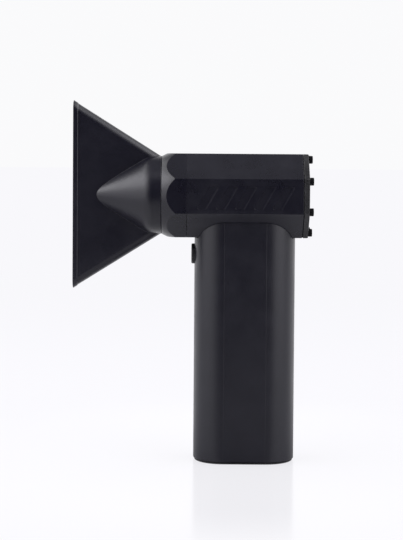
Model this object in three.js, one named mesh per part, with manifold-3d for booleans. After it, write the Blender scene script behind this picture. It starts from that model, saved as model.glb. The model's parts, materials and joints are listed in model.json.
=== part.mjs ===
// Handheld car dryer blower: octagonal barrel with a ducted fan, flat drying nozzle, battery handle.
// Millimetres, +Z up. Air flows toward -X. The origin is the middle of the resting face under the handle.
import * as THREE from "three";
import { mergeVertices } from "three/addons/utils/BufferGeometryUtils.js";
import Module from "manifold-3d";

const wasm = await Module();
wasm.setup();

// ---------------------------------------------------------------- driving dimensions

// Fits
const SEAT_GAP = 0.25; // between faces that rest on each other
const CLOSE_GAP = 0.15; // round a piece that is held snugly
const SLIP_FIT = 0.25; // radial, where one piece slides into another
const RUNNING_GAP = 0.4; // radial, between turning and fixed pieces

// Facets of round forms
const ROUND_LARGE = 32;
const ROUND_MEDIUM = 18;
const ROUND_SMALL = 8;
const CORNER_STEPS = 5;
const CUT_PAST = 2; // how far a cutting form runs past the face that it opens

// Barrel: a regular octagonal prism
const AXIS_HEIGHT = 143.4; // resting face to the duct axis
const BARREL_FLATS = 45;
const BARREL_FRONT = 32.2; // handle centreline to the front seam
const BARREL_REAR = 30.5; // handle centreline to the rear seam
const BARREL_WALL = 2; // at the middle of a flat
const BARREL_BORE_RADIUS = BARREL_FLATS / 2 - BARREL_WALL;
const REAR_FLANGE_THICKNESS = 4;
const INTAKE_LEDGE = 1.9; // the intake is this much smaller than the bore
const INTAKE_RADIUS = BARREL_BORE_RADIUS - INTAKE_LEDGE;

// Slanted pockets on the barrel's side faces
const POCKET_COUNT = 5;
const POCKET_PITCH = 10.05;
const POCKET_WIDTH = 5.6;
const POCKET_HEIGHT = 12.2;
const POCKET_LEAN = 7; // how far the top lies behind the bottom
const POCKET_DEPTH = 0.8;
const POCKET_DROP = 0.95; // middle of the pockets below the axis
const POCKET_BACK = 22.3; // handle centreline to the middle of the rearmost pocket's back edge

// Nose ring
const NOSE_LENGTH = 12.8;
const NOSE_DROP = 1.4; // from the barrel's flats in to the nose face's edge
const NOSE_FACE_RADIUS = BARREL_FLATS / 2 - NOSE_DROP;
const NOSE_ARC_RADIUS = 22;
const NOSE_TAIL_LENGTH = 5; // the part screwed into the barrel
const SPIGOT_STEP = 2.7; // from the nose face's edge in to the spigot
const SPIGOT_WALL = 2;
const SPIGOT_RADIUS = NOSE_FACE_RADIUS - SPIGOT_STEP;
const OUTLET_RADIUS = SPIGOT_RADIUS - SPIGOT_WALL;
const SPIGOT_LENGTH = 8;
const O_RING_SECTION = 0.75; // radius
const O_RING_FROM_FACE = 4;

// Nozzle
const NOZZLE_LENGTH = 48; // collar's back face to the mouth
const NOZZLE_MOUTH_HEIGHT = 101.4;
const NOZZLE_THICKNESS = 10;
const NOZZLE_WALL = 1.6;
const NOZZLE_EDGE_ROUND = 3;
const NOZZLE_LIP_LENGTH = 2.6;
const NOZZLE_LIP_PROUD = 0.4;
const COLLAR_LENGTH = 4.5;
const COLLAR_BLEND_RADIUS = 9.7;
const CONE_ANGLE = 30 * (Math.PI / 180); // half-angle
const FAN_ROOT = 0.5; // collar's back face to where the fan's edges meet the collar

// Rear cover, grille and screws
const COVER_THICKNESS = 2.95;
const GRILLE_SEAT = 1.4; // how far the cover laps over the grille
const COVER_OPENING_RADIUS = INTAKE_RADIUS - GRILLE_SEAT;
const GRILLE_THICKNESS = 1;
const GRILLE_RINGS = 2;
const GRILLE_SPOKES = 6;
const GRILLE_BAR = 0.9;
const COVER_SCREW_INSET = 1.3; // inside the circle that touches the flats
const COVER_SCREW_CIRCLE = BARREL_FLATS / 2 - COVER_SCREW_INSET;
const COVER_SCREW_RADIUS = 1;
const COVER_SCREW_HEAD_RADIUS = 2;
const COVER_SCREW_HEAD_HEIGHT = 2;
const COVER_SCREW_REACH = 3.2; // thread into the barrel
const HEX_KEY_SHARE = 0.5; // hex recess radius, share of the head's

// Fan unit
const DAMPER_THICKNESS = 0.9; // with its gaps, between the shroud and the bore
const SHROUD_RADIUS = BARREL_BORE_RADIUS - DAMPER_THICKNESS;
const SHROUD_WALL = 1.2;
const DAMPER_WIDTH = 5;
const HUB_RADIUS = 10.4;
const HUB_WALL = 1.2;
const HUB_FRONT = 19; // handle centreline to the hub's front end
const HUB_REAR = 9; // and to its rear end
const TAIL_LENGTH = 14;
const TAIL_PLUG_LENGTH = 2.4; // into the hub
const VANE_COUNT = 9;
const VANE_FRONT = 8.5;
const VANE_REAR = 7;
const VANE_THICKNESS = 0.8;
const VANE_WRAP = 0.55; // radians turned from front to back
const VANE_CURL = 0.8; // how much more it turns at its leading end
const BLADE_COUNT = 9;
const BLADE_THICKNESS = 0.7;
const BLADE_WRAP = 1.1;
const BLADE_CURL = 0.45;
const BLADE_EDGE_SHARE = 0.4; // thickness at both edges, share of the middle's
const BLADE_INSET = 1; // from each end of the impeller
const BLADE_SWEEP = 2; // the tip's leading edge lies behind the root's
const IMPELLER_GAP = 0.6; // axial, behind the hub
const IMPELLER_LENGTH = 13;
const IMPELLER_BACK_RADIUS = 10;
const IMPELLER_EYE_RADIUS = 6;
const NUT_LENGTH = 5.2;
const NUT_RADIUS = 5.4;
const NUT_CROWN = 1.6; // left solid over its bore

// Motor
const SHAFT_RADIUS = 1.5;
const SHAFT_FIT = 0.15;
const BEARING_RADIUS = 4.05;
const BEARING_WIDTH = 2.6;
const BEARING_LIP_RADIUS = 2.5;
const BEARING_LIP = 0.8; // thickness of the lip that holds a bearing
const CORE_LENGTH = 10;
const CORE_REAR = 3; // handle centreline to the core's rear face
const CORE_YOKE = 1.8;
const TOOTH_COUNT = 3;
const TOOTH_WIDTH = 3;
const MAGNET_RADIUS = 3.9;
const COIL_THICKNESS = 1.1;
const MAGNET_SETBACK = 0.5; // from each end of the core
const END_BELL_THICKNESS = 3.3;
const LEAD_COUNT = 3;
const LEAD_RADIUS = 0.5;
const LEAD_SPACING = 1.8;
const LEAD_STATION = 15; // handle centreline forward to the leads
const LEAD_TAIL = 11; // how far they hang below the deck
const LEAD_STEPS = 15;

// Handle
const GRIP_LENGTH = 54.4; // along X
const GRIP_WIDTH = 36; // along Y
const GRIP_CORNER = 16;
const GRIP_WALL = 2.2;
const DECK_THICKNESS = 5.5; // under the barrel's lowest flat
const SWITCH_BAY_DEPTH = 8.2; // from the front wall back to the deck
const SWITCH_BAY_ROOF = 1.6;
const CAP_RIM_HEIGHT = 1;
const CAP_RIM_INSET = 0.6;
const CAP_PLUG_HEIGHT = 3.2;
const BASE_SCREW_OFFSET = 12.6; // either side of the centre, along Y
const BASE_SCREW_RADIUS = 1.2;
const BASE_SCREW_HEAD_RADIUS = 2.3;
const BASE_SCREW_HEAD_HEIGHT = 1.5;
const BASE_SCREW_LENGTH = 12;
const BASE_SCREW_SEAT = 1; // above the rim's top
const BOSS_RADIUS = 3;
const BOSS_CROWN = 2; // left solid over its bore
const NECK_SCREW_STATIONS = [-2, 18];
const NECK_SCREW_RADIUS = 1.5;
const NECK_SCREW_HEAD_RADIUS = 2.75;
const NECK_SCREW_LENGTH = 6;

// Button and switch
const BUTTON_DROP = 9.2; // below the barrel's lowest flat
const BUTTON_RADIUS = 5.45;
const BUTTON_PROUD = 1.7;
const BUTTON_FLANGE_RADIUS = 6.4;
const BUTTON_FLANGE_THICKNESS = 1;
const BUTTON_FLANGE_SETBACK = 1.1; // behind the inside of the front wall
const BUTTON_CROWN = 0.3; // dish of its face
const BUTTON_STEM_RADIUS = 2;
const BUTTON_STEM_LENGTH = 2;
const BUTTON_TRAVEL = 1.2;
const SWITCH_SIZE = new THREE.Vector3(3.5, 3.2, 6);
const PLUNGER_RADIUS = 1.1;
const PLUNGER_PROUD = 1.45;
const PLUNGER_LENGTH = 2.75;

// Battery
const CELL_RADIUS = 10.6;
const CELL_LENGTH = 70.15;
const CELL_NUB_RADIUS = 4;
const CELL_NUB_HEIGHT = 0.3;
const CELL_BEVEL = 0.6;
const CELL_WEB = 1; // between the two cells
const HOLDER_FLOOR = 1.5;
const HOLDER_GRIP = 5; // how far the holders reach along the cells
const STRIP_THICKNESS = 0.3;
const STRIP_WIDTH = 8;
const TAB_WIDTH = 4;
const TAB_HEIGHT = 5;

// Electronics
const BOARD_THICKNESS = 1.2;
const BOARD_END_GAP = 0.8; // to the inside of the rear wall
const PORT_WIDTH = 8.94;
const PORT_THICKNESS = 3.2;
const PORT_CORNER = 1.55;
const PORT_DEPTH = 7.9;
const PORT_WALL = 0.3;
const PORT_RECESS = 0.8; // its mouth lies behind the handle's rear face
const PORT_ABOVE_HOLDER = 15.5;
const CAPACITOR_RADIUS = 4;
const CAPACITOR_LENGTH = 14;
const CAPACITOR_BEVEL = 0.5;
const CAPACITOR_STATION = -4;
const CAPACITOR_ABOVE_EDGE = 3; // over the board's lower edge
const CHIP_SIZE = new THREE.Vector3(7, 1, 7);
const CHIP_STATION = -12;
const CHIP_ABOVE_EDGE = 3.1; // over the board's lower edge
const MOSFET_SIZE = new THREE.Vector3(5, 1.1, 6);
const MOSFET_COUNT = 3;
const MOSFET_STATION = 3; // the first one's middle
const MOSFET_PITCH = 5.7;
const MOSFET_BELOW_EDGE = 5; // under the board's upper edge

// ---------------------------------------------------------------- materials

const finish = (color, roughness, metalness = 0) =>
  new THREE.MeshStandardMaterial({ color, roughness, metalness });

const MATERIALS = {
  matteBlack: finish(0x232327, 0.55),
  coatedBlack: finish(0x1d1d20, 0.45, 0.3),
  darkRim: finish(0x141416, 0.6),
  coverGrey: finish(0x3a3b3a, 0.5, 0.2),
  blackSteel: finish(0x101012, 0.35, 0.8),
  rubber: finish(0x18181a, 0.85),
  aluminium: finish(0xb4b7bb, 0.35, 0.9),
  steel: finish(0x9a9da1, 0.3, 0.9),
  laminations: finish(0x6c6e72, 0.5, 0.8),
  copper: finish(0xb87333, 0.35, 0.9),
  magnet: finish(0x55575b, 0.3, 0.8),
  board: finish(0x14532d, 0.6),
  chip: finish(0x1a1a1c, 0.5),
  cellWrap: finish(0x2f6f8f, 0.5),
  nickel: finish(0xc8c6bd, 0.35, 0.9),
  holder: finish(0x2a2a2c, 0.7),
  wire: finish(0x8a2a22, 0.6),
};

// ---------------------------------------------------------------- solids

// A closed geometry as a solid that faces outwards.
function solidOf(geometry) {
  const bare = new THREE.BufferGeometry();
  bare.setAttribute("position", geometry.getAttribute("position").clone());
  if (geometry.index) bare.setIndex(geometry.index.clone());
  const merged = mergeVertices(bare, 1e-4);
  const triVerts = new Uint32Array(merged.index.array);
  const build = () =>
    new wasm.Manifold(
      new wasm.Mesh({
        numProp: 3,
        vertProperties: new Float32Array(merged.attributes.position.array),
        triVerts,
      }),
    );
  const first = build();
  if (first.volume() >= 0) return first;
  for (let i = 0; i < triVerts.length; i += 3) {
    const kept = triVerts[i];
    triVerts[i] = triVerts[i + 1];
    triVerts[i + 1] = kept;
  }
  return build();
}

function geometryOf(solid) {
  const mesh = solid.getMesh();
  const positions = new Float32Array(mesh.numVert * 3);
  for (let i = 0; i < mesh.numVert; i++) {
    const start = i * mesh.numProp;
    positions.set(mesh.vertProperties.subarray(start, start + 3), i * 3);
  }
  const geometry = new THREE.BufferGeometry();
  geometry.setAttribute("position", new THREE.BufferAttribute(positions, 3));
  geometry.setIndex(new THREE.BufferAttribute(new Uint32Array(mesh.triVerts), 1));
  return geometry;
}

const join = (first, ...others) =>
  geometryOf(others.reduce((sum, g) => sum.add(solidOf(g)), solidOf(first)));

const cut = (first, ...others) =>
  geometryOf(others.reduce((rest, g) => rest.subtract(solidOf(g)), solidOf(first)));

const common = (first, second) => geometryOf(solidOf(first).intersect(solidOf(second)));

// ---------------------------------------------------------------- profiles

function roundedRectangle(length, width, corner) {
  const x = length / 2 - corner;
  const y = width / 2 - corner;
  const shape = new THREE.Shape();
  shape.absarc(x, y, corner, 0, Math.PI / 2);
  shape.absarc(-x, y, corner, Math.PI / 2, Math.PI);
  shape.absarc(-x, -y, corner, Math.PI, Math.PI * 1.5);
  shape.absarc(x, -y, corner, Math.PI * 1.5, Math.PI * 2);
  return shape;
}

function polygon(points) {
  return new THREE.Shape(points.map(([x, y]) => new THREE.Vector2(x, y)));
}

function octagon(flats) {
  const radius = flats / 2 / Math.cos(Math.PI / 8);
  return polygon(
    Array.from({ length: 8 }, (_, i) => {
      const angle = Math.PI / 8 + (i * Math.PI) / 4;
      return [radius * Math.cos(angle), radius * Math.sin(angle)];
    }),
  );
}

// The handle's section, drawn in by a distance all round.
const gripSection = (inset) =>
  roundedRectangle(GRIP_LENGTH - 2 * inset, GRIP_WIDTH - 2 * inset, GRIP_CORNER - inset);

// ---------------------------------------------------------------- basic forms

// A shape in the XY plane, extruded up from one height to another.
function upright(shape, bottom, top) {
  const settings = { depth: top - bottom, bevelEnabled: false, curveSegments: CORNER_STEPS };
  return new THREE.ExtrudeGeometry(shape, settings).translate(0, 0, bottom);
}

// A shape drawn in (Y, Z), extruded along X from one station to another.
function alongX(shape, from, to) {
  const settings = { depth: to - from, bevelEnabled: false, curveSegments: CORNER_STEPS };
  const turn = new THREE.Matrix4().makeBasis(
    new THREE.Vector3(0, 1, 0),
    new THREE.Vector3(0, 0, 1),
    new THREE.Vector3(1, 0, 0),
  );
  return new THREE.ExtrudeGeometry(shape, settings).applyMatrix4(turn).translate(from, 0, 0);
}

// A shape drawn in (X, Z), extruded along Y and centred on it, with rounded edges if asked.
function acrossY(shape, thickness, round = 0, steps = 3) {
  const settings = {
    depth: thickness - 2 * round,
    bevelEnabled: round > 0,
    bevelThickness: round,
    bevelSize: round,
    bevelOffset: -round,
    bevelSegments: steps,
    curveSegments: CORNER_STEPS,
  };
  return new THREE.ExtrudeGeometry(shape, settings)
    .rotateX(Math.PI / 2)
    .translate(0, thickness / 2 - round, 0);
}

const lathe = (profile, segments) =>
  new THREE.LatheGeometry(
    profile.map(([along, radius]) => new THREE.Vector2(radius, along)),
    segments,
  );

// A closed profile of [x, radius] points, revolved about the X axis.
const turnedX = (profile, segments = ROUND_LARGE) => lathe(profile, segments).rotateZ(-Math.PI / 2);

// A closed profile of [z, radius] points, revolved about the Z axis.
const turnedZ = (profile, segments = ROUND_MEDIUM) => lathe(profile, segments).rotateX(Math.PI / 2);

const rodX = (radius, from, to, segments = ROUND_SMALL) =>
  turnedX([[from, 0], [from, radius], [to, radius], [to, 0]], segments);

const rodZ = (radius, from, to, segments = ROUND_SMALL) =>
  turnedZ([[from, 0], [from, radius], [to, radius], [to, 0]], segments);

const ringX = (inner, outer, from, to, segments = ROUND_LARGE) =>
  turnedX([[from, inner], [from, outer], [to, outer], [to, inner], [from, inner]], segments);

// A block from its low corner to its high corner.
function block([x0, y0, z0], [x1, y1, z1]) {
  return new THREE.BoxGeometry(x1 - x0, y1 - y0, z1 - z0).translate(
    (x0 + x1) / 2,
    (y0 + y1) / 2,
    (z0 + z1) / 2,
  );
}

const centredBlock = (size, centre) =>
  new THREE.BoxGeometry(size.x, size.y, size.z).translate(...centre);

// A round wire along a smooth curve through points.
function wire(points, radius, steps) {
  const path = new THREE.CatmullRomCurve3(points.map((p) => new THREE.Vector3(...p)));
  const section = polygon(
    Array.from({ length: 6 }, (_, i) => {
      const angle = (i * Math.PI) / 3;
      return [radius * Math.cos(angle), radius * Math.sin(angle)];
    }),
  );
  return new THREE.ExtrudeGeometry(section, { steps, extrudePath: path });
}

// ---------------------------------------------------------------- assembly

const blower = new THREE.Group();
const head = new THREE.Group(); // its X axis is the duct axis
head.position.z = AXIS_HEIGHT;
blower.add(head);

function place(group, name, geometry, material) {
  const shown = geometryOf(solidOf(geometry)).toNonIndexed();
  shown.computeVertexNormals();
  const mesh = new THREE.Mesh(shown, material);
  mesh.name = name;
  group.add(mesh);
}

// ---------------------------------------------------------------- shared stations

const noseBack = -BARREL_FRONT;
const noseFace = noseBack - NOSE_LENGTH;
const collarBack = noseFace - SEAT_GAP;
const mouth = collarBack - NOZZLE_LENGTH + SEAT_GAP;
const socketRadius = SPIGOT_RADIUS + SLIP_FIT;
const spigotEnd = noseFace - SPIGOT_LENGTH;
const ductRadius = SHROUD_RADIUS - SHROUD_WALL;
const coverFront = BARREL_REAR + SEAT_GAP;
const coverBack = coverFront + COVER_THICKNESS;
const hubBore = HUB_RADIUS - HUB_WALL;
const barrelUnderside = AXIS_HEIGHT - BARREL_FLATS / 2;
const deckUnderside = barrelUnderside - DECK_THICKNESS;
const gripFront = -GRIP_LENGTH / 2;
const gripRear = GRIP_LENGTH / 2;
const shellBottom = CAP_RIM_HEIGHT + SEAT_GAP;
const capTop = CAP_RIM_HEIGHT + CAP_PLUG_HEIGHT;
const holderBottom = capTop + SEAT_GAP;
const lowerStrip = holderBottom + HOLDER_FLOOR + SEAT_GAP;
const cellBottom = lowerStrip + STRIP_THICKNESS + SEAT_GAP;
const cellTop = cellBottom + CELL_LENGTH;
const upperStrip = cellTop + SEAT_GAP;
const holderCeiling = upperStrip + STRIP_THICKNESS + SEAT_GAP;
const holderTop = holderCeiling + HOLDER_FLOOR;
const cellOffset = CELL_RADIUS + CELL_WEB / 2;
const boardFace = PORT_THICKNESS / 2 + SEAT_GAP;
const boardBottom = holderTop + SEAT_GAP;
const boardTop = deckUnderside - SEAT_GAP;
const buttonHeight = barrelUnderside - BUTTON_DROP;
const leadY = (index) => boardFace - SEAT_GAP - LEAD_RADIUS - (LEAD_COUNT - 1 - index) * LEAD_SPACING;
const leadSlotLow = leadY(0) - LEAD_RADIUS - 2 * SLIP_FIT;
const leadSlotHigh = leadY(LEAD_COUNT - 1) + LEAD_RADIUS + 2 * SLIP_FIT;
const cornerAngles = Array.from({ length: 8 }, (_, i) => Math.PI / 8 + (i * Math.PI) / 4);

// ---------------------------------------------------------------- nozzle

// Outer or inner skin of the cone with its collar, drawn in by a wall.
function coneProfile(wall) {
  const radius = NOSE_FACE_RADIUS - wall;
  const blend = COLLAR_BLEND_RADIUS - wall;
  const blendStart = collarBack - COLLAR_LENGTH;
  const profile = [[collarBack, 0], [collarBack, radius]];
  for (let i = 0; i <= 4; i++) {
    const angle = (CONE_ANGLE * i) / 4;
    profile.push([
      blendStart - blend * Math.sin(angle),
      radius - blend * (1 - Math.cos(angle)),
    ]);
  }
  const [x, r] = profile[profile.length - 1];
  const tipRadius = NOZZLE_THICKNESS / 2 - wall;
  const tip = x - (r - tipRadius) / Math.tan(CONE_ANGLE);
  profile.push([tip, tipRadius], [tip - tipRadius / 4, tipRadius / 2], [tip - tipRadius / 4, 0]);
  return profile;
}

// The fan's outline in (X, Z), drawn in by a wall, from one station to the mouth.
function fanOutline(wall, back, front) {
  const root = collarBack - FAN_ROOT;
  const slope = (NOZZLE_MOUTH_HEIGHT / 2 - NOSE_FACE_RADIUS) / (root - mouth);
  const drawnIn = wall * Math.hypot(1, slope);
  const half = (x) => NOSE_FACE_RADIUS + slope * (root - x) - drawnIn;
  return polygon([
    [back, -half(back)],
    [back, half(back)],
    [front, half(front)],
    [front, -half(front)],
  ]);
}

function nozzle() {
  const root = collarBack - FAN_ROOT;
  const cone = turnedX(coneProfile(0));
  const wideFan = acrossY(
    fanOutline(0, root + NOZZLE_EDGE_ROUND, mouth - NOZZLE_THICKNESS),
    NOZZLE_THICKNESS,
    NOZZLE_EDGE_ROUND,
  );
  const reach = NOZZLE_MOUTH_HEIGHT;
  const trim = block([mouth, -reach, -reach], [root, reach, reach]);
  const lipFan = acrossY(
    fanOutline(-NOZZLE_LIP_PROUD, root, mouth - NOZZLE_THICKNESS),
    NOZZLE_THICKNESS + 2 * NOZZLE_LIP_PROUD,
    NOZZLE_EDGE_ROUND,
  );
  const lipTrim = block([mouth, -reach, -reach], [mouth + NOZZLE_LIP_LENGTH, reach, reach]);
  const outside = join(cone, common(wideFan, trim), common(lipFan, lipTrim));
  const slotBack = spigotEnd - 2 * NOZZLE_WALL;
  const slot = acrossY(
    fanOutline(NOZZLE_WALL, slotBack, mouth - NOZZLE_THICKNESS),
    NOZZLE_THICKNESS - 2 * NOZZLE_WALL,
    NOZZLE_EDGE_ROUND - NOZZLE_WALL,
    2,
  );
  const slotTrim = block([mouth - NOZZLE_THICKNESS / 2, -reach, -reach], [slotBack, reach, reach]);
  const socketEnd = spigotEnd - NOZZLE_WALL;
  const coneTrim = block([mouth, -reach, -reach], [socketEnd + CLOSE_GAP, reach, reach]);
  const coneWay = common(turnedX(coneProfile(NOZZLE_WALL)), coneTrim);
  const socket = rodX(socketRadius, socketEnd, collarBack + CUT_PAST, ROUND_LARGE);
  return cut(outside, common(slot, slotTrim), coneWay, socket);
}

// ---------------------------------------------------------------- nose ring and O-ring

const grooveCentre = noseFace - O_RING_FROM_FACE;
const ringRadius = SPIGOT_RADIUS + SLIP_FIT - CLOSE_GAP - O_RING_SECTION;

function noseRing() {
  const back = noseBack - SEAT_GAP;
  const centre = NOSE_FACE_RADIUS - Math.sqrt(NOSE_ARC_RADIUS ** 2 - NOSE_LENGTH ** 2);
  const nose = [[noseFace, 0]];
  const steps = 6;
  for (let i = 0; i <= steps; i++) {
    const x = noseFace + ((back - noseFace) * i) / steps;
    nose.push([x, centre + Math.sqrt(NOSE_ARC_RADIUS ** 2 - (noseBack - x) ** 2)]);
  }
  nose.push([back, 0]);
  const shaped = common(turnedX(nose), alongX(octagon(BARREL_FLATS), noseFace - CUT_PAST, back));
  const tailEnd = noseBack + NOSE_TAIL_LENGTH;
  const tail = rodX(BARREL_BORE_RADIUS - SLIP_FIT, back - CUT_PAST, tailEnd, ROUND_LARGE);
  const spigot = rodX(SPIGOT_RADIUS, spigotEnd, noseFace + CUT_PAST, ROUND_LARGE);
  const duct = turnedX([
    [spigotEnd - CUT_PAST, 0],
    [spigotEnd - CUT_PAST, OUTLET_RADIUS],
    [noseFace, OUTLET_RADIUS],
    [noseFace + NOSE_LENGTH / 2, OUTLET_RADIUS + (ductRadius - OUTLET_RADIUS) / 3],
    [tailEnd, ductRadius],
    [tailEnd + CUT_PAST, ductRadius],
    [tailEnd + CUT_PAST, 0],
  ]);
  const grooveHalf = O_RING_SECTION + CLOSE_GAP;
  const groove = ringX(
    ringRadius - grooveHalf,
    SPIGOT_RADIUS + CUT_PAST,
    grooveCentre - grooveHalf,
    grooveCentre + grooveHalf,
  );
  return cut(join(shaped, tail, spigot), duct, groove);
}

function oRing() {
  const sides = 6;
  const profile = Array.from({ length: sides + 1 }, (_, i) => {
    const angle = ((i % sides) / sides) * Math.PI * 2;
    return [
      grooveCentre + O_RING_SECTION * Math.cos(angle),
      ringRadius + O_RING_SECTION * Math.sin(angle),
    ];
  });
  return turnedX(profile);
}

// ---------------------------------------------------------------- barrel

function pocket(index) {
  const right = POCKET_BACK - index * POCKET_PITCH;
  const low = -POCKET_DROP - POCKET_HEIGHT / 2;
  const high = low + POCKET_HEIGHT;
  const lean = POCKET_LEAN / 2;
  return polygon([
    [right - lean - POCKET_WIDTH, low],
    [right - lean, low],
    [right + lean, high],
    [right + lean - POCKET_WIDTH, high],
  ]);
}

function headBody() {
  const prism = alongX(octagon(BARREL_FLATS), -BARREL_FRONT, BARREL_REAR);
  const flangeFront = BARREL_REAR - REAR_FLANGE_THICKNESS;
  const bore = rodX(BARREL_BORE_RADIUS, -BARREL_FRONT - CUT_PAST, flangeFront, ROUND_LARGE);
  const intake = rodX(INTAKE_RADIUS, flangeFront - CUT_PAST, BARREL_REAR + CUT_PAST, ROUND_LARGE);
  const tools = [bore, intake];
  for (let i = 0; i < POCKET_COUNT; i++) {
    for (const side of [-1, 1]) {
      const floor = side * (BARREL_FLATS / 2 - POCKET_DEPTH + CUT_PAST);
      tools.push(acrossY(pocket(i), 2 * CUT_PAST).translate(0, floor, 0));
    }
  }
  for (const angle of cornerAngles) {
    const depth = COVER_SCREW_REACH + SEAT_GAP;
    tools.push(
      rodX(COVER_SCREW_RADIUS + CLOSE_GAP, BARREL_REAR - depth, BARREL_REAR + CUT_PAST).translate(
        0,
        COVER_SCREW_CIRCLE * Math.cos(angle),
        COVER_SCREW_CIRCLE * Math.sin(angle),
      ),
    );
  }
  for (const x of NECK_SCREW_STATIONS) tools.push(neckScrewForm(SLIP_FIT).translate(x, 0, 0));
  tools.push(leadPassage(-BARREL_FLATS, -BARREL_BORE_RADIUS / 2));
  return cut(prism, ...tools);
}

// The way through for the motor's leads, from one height to another below the axis.
function leadPassage(low, high) {
  const half = LEAD_RADIUS + 2 * SLIP_FIT;
  return block(
    [-LEAD_STATION - half, leadSlotLow, low],
    [-LEAD_STATION + half, leadSlotHigh, high],
  );
}

// ---------------------------------------------------------------- rear cover, grille, screws

function rearCover() {
  const disc = alongX(octagon(BARREL_FLATS), coverFront, coverBack);
  const opening = rodX(COVER_OPENING_RADIUS, coverFront - CUT_PAST, coverBack + CUT_PAST, ROUND_LARGE);
  const recess = rodX(
    INTAKE_RADIUS + SLIP_FIT,
    coverFront - CUT_PAST,
    coverFront + GRILLE_THICKNESS + SEAT_GAP,
    ROUND_LARGE,
  );
  const holes = cornerAngles.map((angle) =>
    rodX(COVER_SCREW_RADIUS + CLOSE_GAP, coverFront - CUT_PAST, coverBack + CUT_PAST).translate(
      0,
      COVER_SCREW_CIRCLE * Math.cos(angle),
      COVER_SCREW_CIRCLE * Math.sin(angle),
    ),
  );
  return cut(disc, opening, recess, ...holes);
}

function intakeGrille() {
  const front = coverFront;
  const back = front + GRILLE_THICKNESS;
  const rim = ringX(COVER_OPENING_RADIUS - GRILLE_BAR, INTAKE_RADIUS, front, back);
  const pitch = COVER_OPENING_RADIUS / (GRILLE_RINGS + 1);
  const parts = [rim, rodX(pitch / 2, front, back, ROUND_MEDIUM)];
  for (let i = 1; i <= GRILLE_RINGS; i++) {
    const radius = pitch * i + GRILLE_BAR / 2;
    parts.push(ringX(radius - GRILLE_BAR, radius, front, back, ROUND_MEDIUM));
  }
  for (let i = 0; i < GRILLE_SPOKES; i++) {
    const angle = (i * 2 * Math.PI) / GRILLE_SPOKES;
    parts.push(
      block([front, -GRILLE_BAR / 2, 0], [back, GRILLE_BAR / 2, COVER_OPENING_RADIUS]).rotateX(angle),
    );
  }
  return join(...parts);
}

function coverScrew() {
  const seat = coverBack + CLOSE_GAP;
  const top = seat + COVER_SCREW_HEAD_HEIGHT;
  const screw = turnedX(
    [
      [BARREL_REAR - COVER_SCREW_REACH, 0],
      [BARREL_REAR - COVER_SCREW_REACH, COVER_SCREW_RADIUS],
      [seat, COVER_SCREW_RADIUS],
      [seat, COVER_SCREW_HEAD_RADIUS],
      [top - CLOSE_GAP, COVER_SCREW_HEAD_RADIUS],
      [top, COVER_SCREW_HEAD_RADIUS - CLOSE_GAP],
      [top, 0],
    ],
    ROUND_SMALL,
  );
  const keyRadius = COVER_SCREW_HEAD_RADIUS * HEX_KEY_SHARE;
  const key = rodX(keyRadius, top - COVER_SCREW_HEAD_HEIGHT / 2, top + CUT_PAST, 6);
  return cut(screw, key);
}

// ---------------------------------------------------------------- blades

// A blade or vane as a closed skin: a helical sheet of changing pitch, thinner at both edges.
function blade({ root, tip, leading, trailing, sweep, wrap, curl, thickness, chordSteps, spanSteps }) {
  const sides = [-1, 1];
  const vertices = [];
  const index = (i, j, side) => (j * (chordSteps + 1) + i) * 2 + side;
  for (let j = 0; j <= spanSteps; j++) {
    const v = j / spanSteps;
    const radius = root + (tip - root) * v;
    const front = leading - sweep * v * v;
    for (let i = 0; i <= chordSteps; i++) {
      const u = i / chordSteps;
      const turn = wrap * (u + curl * u * (1 - u));
      const slope = (radius * wrap * (1 + curl * (1 - 2 * u))) / (front - trailing);
      const fullness = BLADE_EDGE_SHARE + (1 - BLADE_EDGE_SHARE) * Math.sin(Math.PI * u);
      const half = (thickness / 2) * fullness * Math.hypot(1, slope);
      for (const side of sides) {
        const angle = turn + (side * half) / radius;
        vertices.push(
          front + (trailing - front) * u,
          radius * Math.cos(angle),
          radius * Math.sin(angle),
        );
      }
    }
  }
  const faces = [];
  const quad = (a, b, c, d) => faces.push(a, b, c, a, c, d);
  for (let j = 0; j < spanSteps; j++) {
    for (let i = 0; i < chordSteps; i++) {
      quad(index(i, j, 0), index(i + 1, j, 0), index(i + 1, j + 1, 0), index(i, j + 1, 0));
      quad(index(i, j, 1), index(i, j + 1, 1), index(i + 1, j + 1, 1), index(i + 1, j, 1));
    }
    quad(index(0, j, 0), index(0, j + 1, 0), index(0, j + 1, 1), index(0, j, 1));
    const last = chordSteps;
    quad(index(last, j, 0), index(last, j, 1), index(last, j + 1, 1), index(last, j + 1, 0));
  }
  for (let i = 0; i < chordSteps; i++) {
    quad(index(i, 0, 0), index(i, 0, 1), index(i + 1, 0, 1), index(i + 1, 0, 0));
    const top = spanSteps;
    quad(index(i, top, 0), index(i + 1, top, 0), index(i + 1, top, 1), index(i, top, 1));
  }
  const geometry = new THREE.BufferGeometry();
  geometry.setAttribute("position", new THREE.Float32BufferAttribute(vertices, 3));
  geometry.setIndex(faces);
  return geometry;
}

const aroundX = (count, make) =>
  Array.from({ length: count }, (_, i) => make().rotateX((i * 2 * Math.PI) / count));

// ---------------------------------------------------------------- fan unit

const impellerFront = HUB_REAR + IMPELLER_GAP;
const impellerRear = impellerFront + IMPELLER_LENGTH;
const bladeTip = ductRadius - RUNNING_GAP;
const bearingSeatRadius = BEARING_RADIUS + CLOSE_GAP;
const rearSeatBack = HUB_REAR - BEARING_LIP;
const rearSeatFront = rearSeatBack - BEARING_WIDTH - 2 * CLOSE_GAP;

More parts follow.
